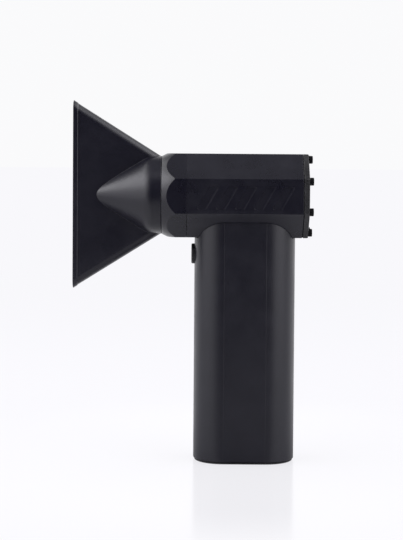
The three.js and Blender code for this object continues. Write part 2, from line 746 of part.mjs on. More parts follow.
function fanShroud() {
  const front = noseBack + NOSE_TAIL_LENGTH + SEAT_GAP;
  const back = BARREL_REAR - REAR_FLANGE_THICKNESS - SEAT_GAP;
  const tube = ringX(ductRadius, SHROUD_RADIUS, front, back);
  const hub = turnedX(
    [
      [-HUB_FRONT, hubBore],
      [-HUB_FRONT, HUB_RADIUS],
      [HUB_REAR, HUB_RADIUS],
      [HUB_REAR, BEARING_LIP_RADIUS],
      [rearSeatBack, BEARING_LIP_RADIUS],
      [rearSeatBack, bearingSeatRadius],
      [rearSeatFront, bearingSeatRadius],
      [rearSeatFront, bearingSeatRadius + HUB_WALL],
      [HUB_REAR - 2 * HUB_WALL, bearingSeatRadius + 2 * HUB_WALL],
      [HUB_REAR - 2 * HUB_WALL, hubBore],
      [-HUB_FRONT, hubBore],
    ],
    ROUND_LARGE,
  );
  const vanes = aroundX(VANE_COUNT, () =>
    blade({
      root: HUB_RADIUS - HUB_WALL / 2,
      tip: ductRadius + SHROUD_WALL / 2,
      leading: VANE_REAR,
      trailing: -VANE_FRONT,
      sweep: 0,
      wrap: -VANE_WRAP,
      curl: VANE_CURL,
      thickness: VANE_THICKNESS,
      chordSteps: 3,
      spanSteps: 1,
    }),
  );
  return cut(join(tube, hub, ...vanes), leadPassage(-BARREL_FLATS, -hubBore / 2));
}

function damper(centre) {
  return ringX(
    SHROUD_RADIUS + CLOSE_GAP,
    BARREL_BORE_RADIUS - CLOSE_GAP,
    centre - DAMPER_WIDTH / 2,
    centre + DAMPER_WIDTH / 2,
  );
}

function tailCone() {
  const base = -HUB_FRONT - SEAT_GAP;
  const profile = [];
  const steps = 8;
  for (let i = steps; i >= 0; i--) {
    const angle = (i / steps) * (Math.PI / 2);
    profile.push([base - TAIL_LENGTH * Math.sin(angle), i === steps ? 0 : HUB_RADIUS * Math.cos(angle)]);
  }
  const plug = hubBore - SLIP_FIT;
  const plugEnd = base + TAIL_PLUG_LENGTH;
  profile.push([base, plug], [plugEnd, plug], [plugEnd, 0]);
  return turnedX(profile, ROUND_MEDIUM);
}

function impeller() {
  const bore = SHAFT_RADIUS + SHAFT_FIT;
  const profile = [[impellerFront, bore]];
  const steps = 6;
  for (let i = 0; i <= steps; i++) {
    const u = i / steps;
    const drop = (IMPELLER_BACK_RADIUS - IMPELLER_EYE_RADIUS) * (1 - Math.cos((u * Math.PI) / 2));
    profile.push([impellerFront + IMPELLER_LENGTH * u, IMPELLER_BACK_RADIUS - drop]);
  }
  profile.push([impellerRear, bore], [impellerFront, bore]);
  const hub = turnedX(profile, ROUND_MEDIUM);
  const blades = aroundX(BLADE_COUNT, () =>
    blade({
      root: IMPELLER_EYE_RADIUS - 2 * BLADE_THICKNESS,
      tip: bladeTip,
      leading: impellerRear - BLADE_INSET,
      trailing: impellerFront + BLADE_INSET,
      sweep: BLADE_SWEEP,
      wrap: BLADE_WRAP,
      curl: BLADE_CURL,
      thickness: BLADE_THICKNESS,
      chordSteps: 5,
      spanSteps: 3,
    }),
  );
  return join(hub, ...blades);
}

function spinnerNut() {
  const seat = impellerRear + SEAT_GAP;
  const bore = SHAFT_RADIUS + SHAFT_FIT;
  const steps = 5;
  const profile = [[seat, bore], [seat, NUT_RADIUS]];
  for (let i = 1; i <= steps; i++) {
    const angle = (i / steps) * (Math.PI / 2);
    const radius = i === steps ? 0 : NUT_RADIUS * Math.cos(angle);
    profile.push([seat + NUT_LENGTH * Math.sin(angle), radius]);
  }
  const blind = seat + NUT_LENGTH - NUT_CROWN;
  profile.push([blind, 0], [blind, bore], [seat, bore]);
  return turnedX(profile, ROUND_MEDIUM);
}

// ---------------------------------------------------------------- motor

const coreFront = CORE_REAR - CORE_LENGTH;
const coreRadius = hubBore - CLOSE_GAP;
const toothTip = MAGNET_RADIUS + RUNNING_GAP;
const coilOverhang = COIL_THICKNESS + CLOSE_GAP;
const endBellRear = coreFront - coilOverhang - RUNNING_GAP;
const endBellFront = endBellRear - END_BELL_THICKNESS;
const shaftEnd = impellerRear + NUT_LENGTH - NUT_CROWN - CLOSE_GAP;

function motorCore() {
  const yoke = ringX(coreRadius - CORE_YOKE, coreRadius, coreFront, CORE_REAR);
  const teeth = aroundX(TOOTH_COUNT, () =>
    block(
      [coreFront, -TOOTH_WIDTH / 2, toothTip],
      [CORE_REAR, TOOTH_WIDTH / 2, coreRadius - CORE_YOKE / 2],
    ),
  );
  return join(yoke, ...teeth);
}

const rotorMagnet = () =>
  ringX(
    SHAFT_RADIUS + SHAFT_FIT,
    MAGNET_RADIUS,
    coreFront + MAGNET_SETBACK,
    CORE_REAR - MAGNET_SETBACK,
    ROUND_MEDIUM,
  );

// A coil is a flat box wound round one tooth.
function motorCoil() {
  const inner = toothTip + CLOSE_GAP;
  const clear = CLOSE_GAP;
  const near = TOOTH_WIDTH / 2 + clear;
  const far = near + COIL_THICKNESS;
  const outer = Math.sqrt((coreRadius - CORE_YOKE - 2 * clear) ** 2 - far ** 2);
  const wound = block(
    [coreFront - coilOverhang, -far, inner],
    [CORE_REAR + coilOverhang, far, outer],
  );
  const tooth = block(
    [coreFront - clear, -near, inner - CUT_PAST],
    [CORE_REAR + clear, near, outer + CUT_PAST],
  );
  return cut(wound, tooth);
}

function motorEndBell() {
  const seatBack = endBellRear - BEARING_LIP;
  const bell = turnedX([
    [endBellFront, bearingSeatRadius],
    [endBellFront, coreRadius],
    [endBellRear, coreRadius],
    [endBellRear, BEARING_LIP_RADIUS],
    [seatBack, BEARING_LIP_RADIUS],
    [seatBack, bearingSeatRadius],
    [endBellFront, bearingSeatRadius],
  ]);
  const notch = block(
    [endBellFront - CUT_PAST, leadSlotLow, -coreRadius - CUT_PAST],
    [endBellRear + CUT_PAST, leadSlotHigh, -coreRadius + 5 * LEAD_RADIUS],
  );
  return cut(bell, notch);
}

// Both bearings are short rings that the shaft turns in.
const bearing = (rear) =>
  ringX(SHAFT_RADIUS + SHAFT_FIT, BEARING_RADIUS, rear - BEARING_WIDTH, rear, ROUND_MEDIUM);

function motorLead(index) {
  const y = leadY(index);
  const x = -LEAD_STATION;
  const inside = -coreRadius + 3 * LEAD_RADIUS;
  const boardY = leadY(LEAD_COUNT - 1);
  const deck = deckUnderside - AXIS_HEIGHT;
  const foot = x + LEAD_RADIUS + (LEAD_COUNT - 1 - index) * (LEAD_SPACING + LEAD_RADIUS);
  return wire(
    [
      [endBellRear + RUNNING_GAP / 2, y, inside],
      [endBellFront, y, inside],
      [x + LEAD_RADIUS, y, inside - LEAD_RADIUS],
      [x, y, inside - 6 * LEAD_RADIUS],
      [x, y, -SHROUD_RADIUS],
      [x, y, deck - 2 * LEAD_RADIUS],
      [foot, boardY, deck - 0.75 * LEAD_TAIL],
      [foot, boardY, deck - LEAD_TAIL],
    ],
    LEAD_RADIUS,
    LEAD_STEPS,
  );
}

// ---------------------------------------------------------------- handle

// Countersunk screw, its head flush with the barrel's bore, about Z below the duct axis.
function neckScrewForm(clearance) {
  const flush = -BARREL_BORE_RADIUS - CLOSE_GAP + (clearance ? CUT_PAST : 0);
  const sink = NECK_SCREW_HEAD_RADIUS - NECK_SCREW_RADIUS;
  const bottom = -BARREL_BORE_RADIUS - NECK_SCREW_LENGTH - clearance;
  return turnedZ(
    [
      [bottom, 0],
      [bottom, NECK_SCREW_RADIUS + clearance],
      [-BARREL_BORE_RADIUS - CLOSE_GAP - sink, NECK_SCREW_RADIUS + clearance],
      [-BARREL_BORE_RADIUS - CLOSE_GAP, NECK_SCREW_HEAD_RADIUS + clearance],
      [flush + CLOSE_GAP / 2, NECK_SCREW_HEAD_RADIUS + clearance],
      [flush + CLOSE_GAP / 2, 0],
    ],
    ROUND_SMALL,
  );
}

function handleShell() {
  const bayBack = gripFront + GRIP_WALL + SWITCH_BAY_DEPTH;
  const outside = upright(gripSection(0), shellBottom, AXIS_HEIGHT);
  const cavity = upright(gripSection(GRIP_WALL), -CUT_PAST, deckUnderside);
  const bay = common(
    upright(gripSection(GRIP_WALL), deckUnderside - CUT_PAST, barrelUnderside - SWITCH_BAY_ROOF),
    block([gripFront, -GRIP_WIDTH, 0], [bayBack, GRIP_WIDTH, AXIS_HEIGHT]),
  );
  const saddle = alongX(octagon(BARREL_FLATS + 2 * SEAT_GAP), -GRIP_LENGTH, GRIP_LENGTH);
  saddle.translate(0, 0, AXIS_HEIGHT);
  const above = block([-GRIP_LENGTH, -GRIP_WIDTH, AXIS_HEIGHT - BARREL_FLATS / 4], [
    GRIP_LENGTH,
    GRIP_WIDTH,
    AXIS_HEIGHT + CUT_PAST,
  ]);
  const buttonHole = rodX(BUTTON_RADIUS + SLIP_FIT, gripFront - CUT_PAST, bayBack - CUT_PAST, ROUND_MEDIUM);
  buttonHole.translate(0, 0, buttonHeight);
  const portHole = alongX(
    roundedRectangle(
      PORT_THICKNESS + 2 * SLIP_FIT,
      PORT_WIDTH + 2 * SLIP_FIT,
      PORT_CORNER + SLIP_FIT,
    ),
    gripRear - 2 * GRIP_WALL,
    gripRear + CUT_PAST,
  );
  portHole.translate(0, 0, portHeight);
  const bosses = [-1, 1].map((side) => screwBoss(side));
  const bossHoles = [-1, 1].map((side) =>
    rodZ(BASE_SCREW_RADIUS + CLOSE_GAP, 0, baseScrewTop + SEAT_GAP).translate(
      0,
      side * BASE_SCREW_OFFSET,
      0,
    ),
  );
  const neckHoles = NECK_SCREW_STATIONS.map((x) =>
    neckScrewForm(SLIP_FIT).translate(x, 0, AXIS_HEIGHT),
  );
  const passage = leadPassage(-BARREL_FLATS, -BARREL_BORE_RADIUS).translate(0, 0, AXIS_HEIGHT);
  const tube = join(cut(outside, cavity, bay, saddle, above), ...bosses);
  return cut(tube, buttonHole, portHole, passage, ...bossHoles, ...neckHoles);
}

const portHeight = holderTop + PORT_ABOVE_HOLDER;
const baseScrewSeat = CAP_RIM_HEIGHT + BASE_SCREW_SEAT;
const baseScrewTop = baseScrewSeat + BASE_SCREW_LENGTH;
const bossBottom = capTop + SEAT_GAP;

function screwBoss(side) {
  const top = baseScrewTop + BOSS_CROWN;
  const post = rodZ(BOSS_RADIUS, bossBottom, top).translate(0, side * BASE_SCREW_OFFSET, 0);
  const wall = GRIP_WIDTH / 2 - GRIP_WALL / 2;
  const near = Math.min(side * BASE_SCREW_OFFSET, side * wall);
  const far = Math.max(side * BASE_SCREW_OFFSET, side * wall);
  return join(post, block([-BOSS_RADIUS, near, bossBottom], [BOSS_RADIUS, far, top]));
}

function baseCap() {
  const rim = upright(gripSection(CAP_RIM_INSET), 0, CAP_RIM_HEIGHT);
  const plug = upright(gripSection(GRIP_WALL + SLIP_FIT), CAP_RIM_HEIGHT / 2, capTop);
  const holes = [-1, 1].map((side) =>
    join(
      rodZ(BASE_SCREW_HEAD_RADIUS + SLIP_FIT, -CUT_PAST, baseScrewSeat),
      rodZ(BASE_SCREW_RADIUS + SLIP_FIT, -CUT_PAST, capTop + CUT_PAST),
    ).translate(0, side * BASE_SCREW_OFFSET, 0),
  );
  return cut(join(rim, plug), ...holes);
}

function baseScrew() {
  const seat = baseScrewSeat - CLOSE_GAP;
  const bottom = seat - BASE_SCREW_HEAD_HEIGHT;
  const screw = turnedZ(
    [
      [bottom, 0],
      [bottom, BASE_SCREW_HEAD_RADIUS],
      [seat, BASE_SCREW_HEAD_RADIUS],
      [seat, BASE_SCREW_RADIUS],
      [baseScrewTop, BASE_SCREW_RADIUS],
      [baseScrewTop, 0],
    ],
    ROUND_SMALL,
  );
  const keyTop = bottom + BASE_SCREW_HEAD_HEIGHT / 2;
  return cut(screw, rodZ(BASE_SCREW_HEAD_RADIUS * HEX_KEY_SHARE, bottom - CUT_PAST, keyTop, 6));
}

// ---------------------------------------------------------------- button and switch

const flangeFront = gripFront + GRIP_WALL + BUTTON_FLANGE_SETBACK;
const flangeBack = flangeFront + BUTTON_FLANGE_THICKNESS;
const stemEnd = flangeBack + BUTTON_STEM_LENGTH;
const plungerTip = stemEnd + SEAT_GAP;
const switchFront = plungerTip + PLUNGER_PROUD;

function pushButton() {
  const face = gripFront - BUTTON_PROUD;
  return turnedX(
    [
      [face + BUTTON_CROWN, 0],
      [face, BUTTON_RADIUS - 3 * BUTTON_CROWN],
      [face + BUTTON_CROWN / 2, BUTTON_RADIUS - BUTTON_CROWN],
      [face + 2 * BUTTON_CROWN, BUTTON_RADIUS],
      [flangeFront, BUTTON_RADIUS],
      [flangeFront, BUTTON_FLANGE_RADIUS],
      [flangeBack, BUTTON_FLANGE_RADIUS],
      [flangeBack, BUTTON_STEM_RADIUS],
      [stemEnd, BUTTON_STEM_RADIUS],
      [stemEnd, 0],
    ],
    ROUND_MEDIUM,
  ).translate(0, 0, buttonHeight);
}

function switchBody() {
  const body = centredBlock(SWITCH_SIZE, [switchFront + SWITCH_SIZE.x / 2, 0, buttonHeight]);
  const depth = PLUNGER_LENGTH - PLUNGER_PROUD + BUTTON_TRAVEL + 2 * CLOSE_GAP;
  const well = rodX(PLUNGER_RADIUS + SLIP_FIT, switchFront - CUT_PAST, switchFront + depth);
  return cut(body, well.translate(0, 0, buttonHeight));
}

const switchPlunger = () =>
  rodX(PLUNGER_RADIUS, plungerTip, plungerTip + PLUNGER_LENGTH).translate(0, 0, buttonHeight);

// ---------------------------------------------------------------- battery

// A round cell standing on its flat end, nub up.
function batteryCell() {
  const shoulder = CELL_LENGTH - CELL_NUB_HEIGHT;
  return turnedZ([
    [0, 0],
    [0, CELL_RADIUS - CELL_BEVEL],
    [CELL_BEVEL, CELL_RADIUS],
    [shoulder - CELL_BEVEL, CELL_RADIUS],
    [shoulder, CELL_RADIUS - CELL_BEVEL],
    [shoulder, CELL_NUB_RADIUS],
    [CELL_LENGTH, CELL_NUB_RADIUS],
    [CELL_LENGTH, 0],
  ]);
}

const holderOutline = () => gripSection(GRIP_WALL + SLIP_FIT);
const socket = (x, from, to) =>
  rodZ(CELL_RADIUS + SLIP_FIT, from, to, ROUND_MEDIUM).translate(x, 0, 0);

function cellHolderBottom() {
  const floor = holderBottom + HOLDER_FLOOR;
  const top = cellBottom + HOLDER_GRIP;
  const tray = upright(holderOutline(), holderBottom, top);
  const sockets = [-cellOffset, cellOffset].map((x) => socket(x, floor, top + CUT_PAST));
  const bossRoom = [-1, 1].map((side) => {
    const room = BOSS_RADIUS + 2 * SLIP_FIT;
    const near = side * BASE_SCREW_OFFSET;
    const far = side * GRIP_WIDTH;
    const low = holderBottom - CUT_PAST;
    const high = top + CUT_PAST;
    return join(
      rodZ(room, low, high).translate(0, near, 0),
      block([-room, Math.min(near, far), low], [room, Math.max(near, far), high]),
    );
  });
  const stripWay = block(
    [-cellOffset, -STRIP_WIDTH / 2 - SLIP_FIT, floor],
    [cellOffset, STRIP_WIDTH / 2 + SLIP_FIT, cellBottom],
  );
  return cut(tray, ...sockets, ...bossRoom, stripWay);
}

const riserBack = boardFace - SEAT_GAP;

function cellHolderTop() {
  const bottom = cellTop - HOLDER_GRIP;
  const tray = upright(holderOutline(), bottom, holderTop);
  const sockets = [-cellOffset, cellOffset].map((x) => socket(x, bottom - CUT_PAST, holderCeiling));
  const risers = [-cellOffset, cellOffset].map((x) => {
    const half = TAB_WIDTH / 2 + SLIP_FIT;
    const back = riserBack + SLIP_FIT;
    const front = riserBack - STRIP_THICKNESS - SLIP_FIT;
    return block([x - half, front, holderCeiling - CUT_PAST], [x + half, back, holderTop + CUT_PAST]);
  });
  return cut(tray, ...sockets, ...risers);
}

// The strip that joins the lower ends of both cells.
const cellLinkStrip = () =>
  block(
    [-cellOffset - STRIP_WIDTH / 2, -STRIP_WIDTH / 2, lowerStrip],
    [cellOffset + STRIP_WIDTH / 2, STRIP_WIDTH / 2, lowerStrip + STRIP_THICKNESS],
  );

// A tab on a cell's upper end, bent up through the holder to lie on the board.
function cellTab(x) {
  const half = TAB_WIDTH / 2;
  const flat = block(
    [x - half, -STRIP_WIDTH / 2, upperStrip],
    [x + half, riserBack, upperStrip + STRIP_THICKNESS],
  );
  const riser = block(
    [x - half, riserBack - STRIP_THICKNESS, upperStrip],
    [x + half, riserBack, upperStrip + TAB_HEIGHT],
  );
  return join(flat, riser);
}

// ---------------------------------------------------------------- electronics

const boardFrontEdge = switchFront + CLOSE_GAP;
const boardRearEdge = gripRear - GRIP_WALL - BOARD_END_GAP;

const controlBoard = () =>
  block(
    [boardFrontEdge, boardFace, boardBottom],
    [boardRearEdge, boardFace + BOARD_THICKNESS, boardTop],
  );

function chargePort() {
  const rear = gripRear - PORT_RECESS;
  const front = rear - PORT_DEPTH;
  const outline = (inset) =>
    roundedRectangle(
      PORT_THICKNESS - 2 * inset,
      PORT_WIDTH - 2 * inset,
      PORT_CORNER - inset,
    );
  const shell = alongX(outline(0), front, rear);
  const hollow = alongX(outline(PORT_WALL), front + 2 * PORT_WALL, rear + CUT_PAST);
  const tongueHalf = PORT_WIDTH / 2 - 4 * PORT_WALL;
  const tongue = block(
    [front + PORT_WALL, -PORT_WALL, -tongueHalf],
    [rear - 4 * PORT_WALL, PORT_WALL, tongueHalf],
  );
  return join(cut(shell, hollow), tongue).translate(0, 0, portHeight);
}

function powerCapacitor() {
  const y = boardFace - SEAT_GAP - CAPACITOR_RADIUS;
  return turnedZ([
    [0, 0],
    [0, CAPACITOR_RADIUS - CAPACITOR_BEVEL],
    [CAPACITOR_BEVEL, CAPACITOR_RADIUS],
    [CAPACITOR_LENGTH - CAPACITOR_BEVEL, CAPACITOR_RADIUS],
    [CAPACITOR_LENGTH, CAPACITOR_RADIUS - CAPACITOR_BEVEL],
    [CAPACITOR_LENGTH, 0],
  ]).translate(CAPACITOR_STATION, y, boardBottom + CAPACITOR_ABOVE_EDGE);
}

// A flat component lying on the board's face.
const onBoard = (size, x, z) => centredBlock(size, [x, boardFace - SEAT_GAP - size.y / 2, z]);

const chipHeight = boardBottom + CHIP_ABOVE_EDGE + CHIP_SIZE.z / 2;
const mosfetHeight = boardTop - MOSFET_BELOW_EDGE - MOSFET_SIZE.z / 2;
const mosfetStation = (index) => MOSFET_STATION + index * MOSFET_PITCH;

// ---------------------------------------------------------------- all pieces

place(head, "nozzle", nozzle(), MATERIALS.matteBlack);
place(head, "o_ring", oRing(), MATERIALS.rubber);
place(head, "nose_ring", noseRing(), MATERIALS.coatedBlack);
place(head, "head_body", headBody(), MATERIALS.coatedBlack);
place(head, "rear_cover", rearCover(), MATERIALS.coverGrey);
place(head, "intake_grille", intakeGrille(), MATERIALS.blackSteel);
cornerAngles.forEach((angle, i) => {
  const screw = coverScrew().translate(
    0,
    COVER_SCREW_CIRCLE * Math.cos(angle),
    COVER_SCREW_CIRCLE * Math.sin(angle),
  );
  place(head, `cover_screw_${i + 1}`, screw, MATERIALS.blackSteel);
});

place(head, "fan_shroud", fanShroud(), MATERIALS.aluminium);
place(head, "damper_front", damper(noseBack + NOSE_TAIL_LENGTH + DAMPER_WIDTH), MATERIALS.rubber);
place(
  head,
  "damper_rear",
  damper(BARREL_REAR - REAR_FLANGE_THICKNESS - DAMPER_WIDTH),
  MATERIALS.rubber,
);
place(head, "tail_cone", tailCone(), MATERIALS.aluminium);
place(head, "impeller", impeller(), MATERIALS.aluminium);
place(head, "spinner_nut", spinnerNut(), MATERIALS.steel);
place(head, "motor_shaft", rodX(SHAFT_RADIUS, endBellFront, shaftEnd), MATERIALS.steel);
place(head, "rotor_magnet", rotorMagnet(), MATERIALS.magnet);
place(head, "motor_core", motorCore(), MATERIALS.laminations);
for (let i = 0; i < TOOTH_COUNT; i++) {
  const coil = motorCoil().rotateX((i * 2 * Math.PI) / TOOTH_COUNT);
  place(head, `motor_coil_${i + 1}`, coil, MATERIALS.copper);
}
place(head, "motor_end_bell", motorEndBell(), MATERIALS.aluminium);
place(head, "bearing_rear", bearing(rearSeatBack - CLOSE_GAP), MATERIALS.steel);
place(head, "bearing_front", bearing(endBellRear - BEARING_LIP - CLOSE_GAP), MATERIALS.steel);
for (let i = 0; i < LEAD_COUNT; i++) {
  place(head, `motor_lead_${i + 1}`, motorLead(i), MATERIALS.wire);
}
NECK_SCREW_STATIONS.forEach((x, i) => {
  place(head, `neck_screw_${i + 1}`, neckScrewForm(0).translate(x, 0, 0), MATERIALS.blackSteel);
});

place(blower, "handle_shell", handleShell(), MATERIALS.matteBlack);
place(blower, "base_cap", baseCap(), MATERIALS.darkRim);
[-1, 1].forEach((side, i) => {
  const screw = baseScrew().translate(0, side * BASE_SCREW_OFFSET, 0);
  place(blower, `base_screw_${i + 1}`, screw, MATERIALS.blackSteel);
});
place(blower, "push_button", pushButton(), MATERIALS.darkRim);
place(blower, "switch_body", switchBody(), MATERIALS.chip);
place(blower, "switch_plunger", switchPlunger(), MATERIALS.nickel);
place(blower, "control_board", controlBoard(), MATERIALS.board);
place(blower, "charge_port", chargePort(), MATERIALS.nickel);
place(blower, "power_capacitor", powerCapacitor(), MATERIALS.chip);
place(blower, "driver_chip", onBoard(CHIP_SIZE, CHIP_STATION, chipHeight), MATERIALS.chip);
for (let i = 0; i < MOSFET_COUNT; i++) {
  const mosfet = onBoard(MOSFET_SIZE, mosfetStation(i), mosfetHeight);
  place(blower, `mosfet_${i + 1}`, mosfet, MATERIALS.chip);
}
place(
  blower,
  "battery_cell_1",
  batteryCell().translate(-cellOffset, 0, cellBottom),
  MATERIALS.cellWrap,
);
place(
  blower,
  "battery_cell_2",
  batteryCell().rotateX(Math.PI).translate(cellOffset, 0, cellTop),
  MATERIALS.cellWrap,
);
place(blower, "cell_holder_bottom", cellHolderBottom(), MATERIALS.holder);
place(blower, "cell_holder_top", cellHolderTop(), MATERIALS.holder);
place(blower, "cell_link_strip", cellLinkStrip(), MATERIALS.nickel);
place(blower, "cell_tab_positive", cellTab(-cellOffset), MATERIALS.nickel);
place(blower, "cell_tab_negative", cellTab(cellOffset), MATERIALS.nickel);

export default blower;
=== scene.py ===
"""Looks of a handheld car dryer blower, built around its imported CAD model.

Shapes are in millimetres in the part's frame and become metres when a mesh is made. The floor,
the lamps and the camera are in metres. Angles whose names don't say otherwise are in degrees.
"""

import json
import math

import bmesh
import bpy
from mathutils import Matrix, Vector


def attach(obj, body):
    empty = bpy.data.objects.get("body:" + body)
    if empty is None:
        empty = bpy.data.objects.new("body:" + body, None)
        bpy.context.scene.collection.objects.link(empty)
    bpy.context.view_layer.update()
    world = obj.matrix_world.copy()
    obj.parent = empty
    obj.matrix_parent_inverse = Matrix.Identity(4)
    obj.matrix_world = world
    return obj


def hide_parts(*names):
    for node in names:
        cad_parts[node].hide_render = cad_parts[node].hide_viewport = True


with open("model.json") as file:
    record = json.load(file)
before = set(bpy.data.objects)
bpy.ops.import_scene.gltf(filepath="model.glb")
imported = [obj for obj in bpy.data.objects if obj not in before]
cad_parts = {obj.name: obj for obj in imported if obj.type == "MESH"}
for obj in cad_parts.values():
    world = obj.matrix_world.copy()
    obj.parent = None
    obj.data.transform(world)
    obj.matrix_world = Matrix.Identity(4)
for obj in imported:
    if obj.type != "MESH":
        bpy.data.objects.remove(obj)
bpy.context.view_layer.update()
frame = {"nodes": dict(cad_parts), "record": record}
nodes = frame["nodes"]
scene = bpy.context.scene

MM = 0.001
AXIS_HEIGHT = 143.4


# ---------------------------------------------------------------- shader nodes

def node(tree, kind, **inputs):
    """A shader node with some of its inputs set."""
    made = tree.nodes.new(kind)
    for key, value in inputs.items():
        made.inputs[key.replace("_", " ")].default_value = value
    return made


def ranged(tree, value, start, end, low, high, curve="SMOOTHSTEP"):
    """A value mapped from start..end to low..high."""
    step = node(tree, "ShaderNodeMapRange", From_Min=start, From_Max=end, To_Min=low, To_Max=high)
    step.interpolation_type = curve
    tree.links.new(value, step.inputs["Value"])
    return step.outputs["Result"]


def calc(tree, operation, first, second=0.0):
    """One operation on two values, each a socket or a number."""
    step = tree.nodes.new("ShaderNodeMath")
    step.operation = operation
    for socket, value in zip(step.inputs, (first, second)):
        if isinstance(value, float):
            socket.default_value = value
        else:
            tree.links.new(value, socket)
    return step.outputs[0]


def noise(tree, place, scale, detail, roughness):
    """A noise that is fixed to a place."""
    made = node(tree, "ShaderNodeTexNoise", Scale=scale, Detail=detail, Roughness=roughness)
    tree.links.new(place, made.inputs["Vector"])
    return made.outputs["Fac"]


def mixed(tree, factor, first, second):
    """Two shaders mixed by a factor."""
    mix = tree.nodes.new("ShaderNodeMixShader")
    for socket, value in zip(mix.inputs, (factor, first, second)):
        tree.links.new(value, socket)
    return mix.outputs[0]


def seen_directly(tree):
    """1 for camera, glossy and transmission rays."""
    path = tree.nodes.new("ShaderNodeLightPath")
    seen = calc(tree, "MAXIMUM", path.outputs["Is Camera Ray"], path.outputs["Is Glossy Ray"])
    return calc(tree, "MAXIMUM", seen, path.outputs["Is Transmission Ray"])


# ---------------------------------------------------------------- finishes

# noises as (scale, detail, roughness), FINE without its scale, which is a finish's own; a SPAN is
# the part of a value's range that is put to use
FINE = (3.0, 0.6)
CLOUD, CLOUD_SPAN = (70.0, 5.0, 0.62), (0.3, 0.7)
GRIT, GRIT_SPAN = (1100.0, 2.0, 0.7), (0.48, 0.62)
EDGE_SPAN = (0.51, 0.6)
COAT_ROUGHNESS = 0.25


def tinted(tree, place, cloud, color, mottle, speckle):
    """The base colour in cloudy shades, with pale flecks where speckle is set."""
    shade = ranged(tree, cloud, *CLOUD_SPAN, 1 - mottle, 1 + mottle, "LINEAR")
    tint = tree.nodes.new("ShaderNodeVectorMath")
    tint.operation = "SCALE"
    tint.inputs[0].default_value = color
    tree.links.new(shade, tint.inputs["Scale"])
    if not speckle:
        return tint.outputs["Vector"]
    bright = ranged(tree, noise(tree, place, *GRIT), *GRIT_SPAN, 0.0, speckle)
    flecked = tree.nodes.new("ShaderNodeVectorMath")
    flecked.operation = "ADD"
    tree.links.new(tint.outputs["Vector"], flecked.inputs[0])
    tree.links.new(bright, flecked.inputs[1])
    return flecked.outputs["Vector"]


def with_worn_edges(tree, base, cloud, wear, wear_color):
    """A colour that turns lighter along sharp edges, in broken patches."""
    pointed = tree.nodes.new("ShaderNodeNewGeometry").outputs["Pointiness"]
    edge = ranged(tree, pointed, *EDGE_SPAN, 0.0, wear, "LINEAR")
    worn = tree.nodes.new("ShaderNodeMix")
    worn.data_type = "RGBA"
    tree.links.new(calc(tree, "MULTIPLY", edge, cloud), worn.inputs["Factor"])
    tree.links.new(base, worn.inputs[6])
    worn.inputs[7].default_value = (*wear_color, 1)
    return worn.outputs[2]


def finish(name, color, roughness, metallic=0.0, specular=0.5, grain=2600.0, bump=0.00002,
           mottle=0.1, rough_vary=0.05, wear=0.0, wear_color=(0.2, 0.2, 0.2), brushed=None,
           coat=0.0, speckle=0.0):
    """A procedural finish: fine grain in the bump, cloudy colour and roughness, worn edges."""
    material = bpy.data.materials.new(name)
    material.use_nodes = True
    material.diffuse_color = (*color, 1)
    tree = material.node_tree
    link = tree.links.new
    shader = tree.nodes["Principled BSDF"]
    shader.inputs["Metallic"].default_value = metallic
    shader.inputs["Specular IOR Level"].default_value = specular
    shader.inputs["Coat Weight"].default_value = coat
    shader.inputs["Coat Roughness"].default_value = COAT_ROUGHNESS

    place = tree.nodes.new("ShaderNodeTexCoord").outputs["Object"]
    grain_place = place
    if brushed:
        stretch = node(tree, "ShaderNodeMapping", Scale=brushed)
        link(place, stretch.inputs["Vector"])
        grain_place = stretch.outputs["Vector"]
    height = node(tree, "ShaderNodeBump", Strength=1.0, Distance=bump)
    link(noise(tree, grain_place, grain, *FINE), height.inputs["Height"])
    link(height.outputs["Normal"], shader.inputs["Normal"])

    cloud = noise(tree, place, *CLOUD)
    base = tinted(tree, place, cloud, color, mottle, speckle)
    if wear:
        base = with_worn_edges(tree, base, cloud, wear, wear_color)
    link(base, shader.inputs["Base Color"])
    uneven = ranged(tree, cloud, *CLOUD_SPAN, roughness - rough_vary, roughness + rough_vary,
                    "LINEAR")
    link(uneven, shader.inputs["Roughness"])
    return material


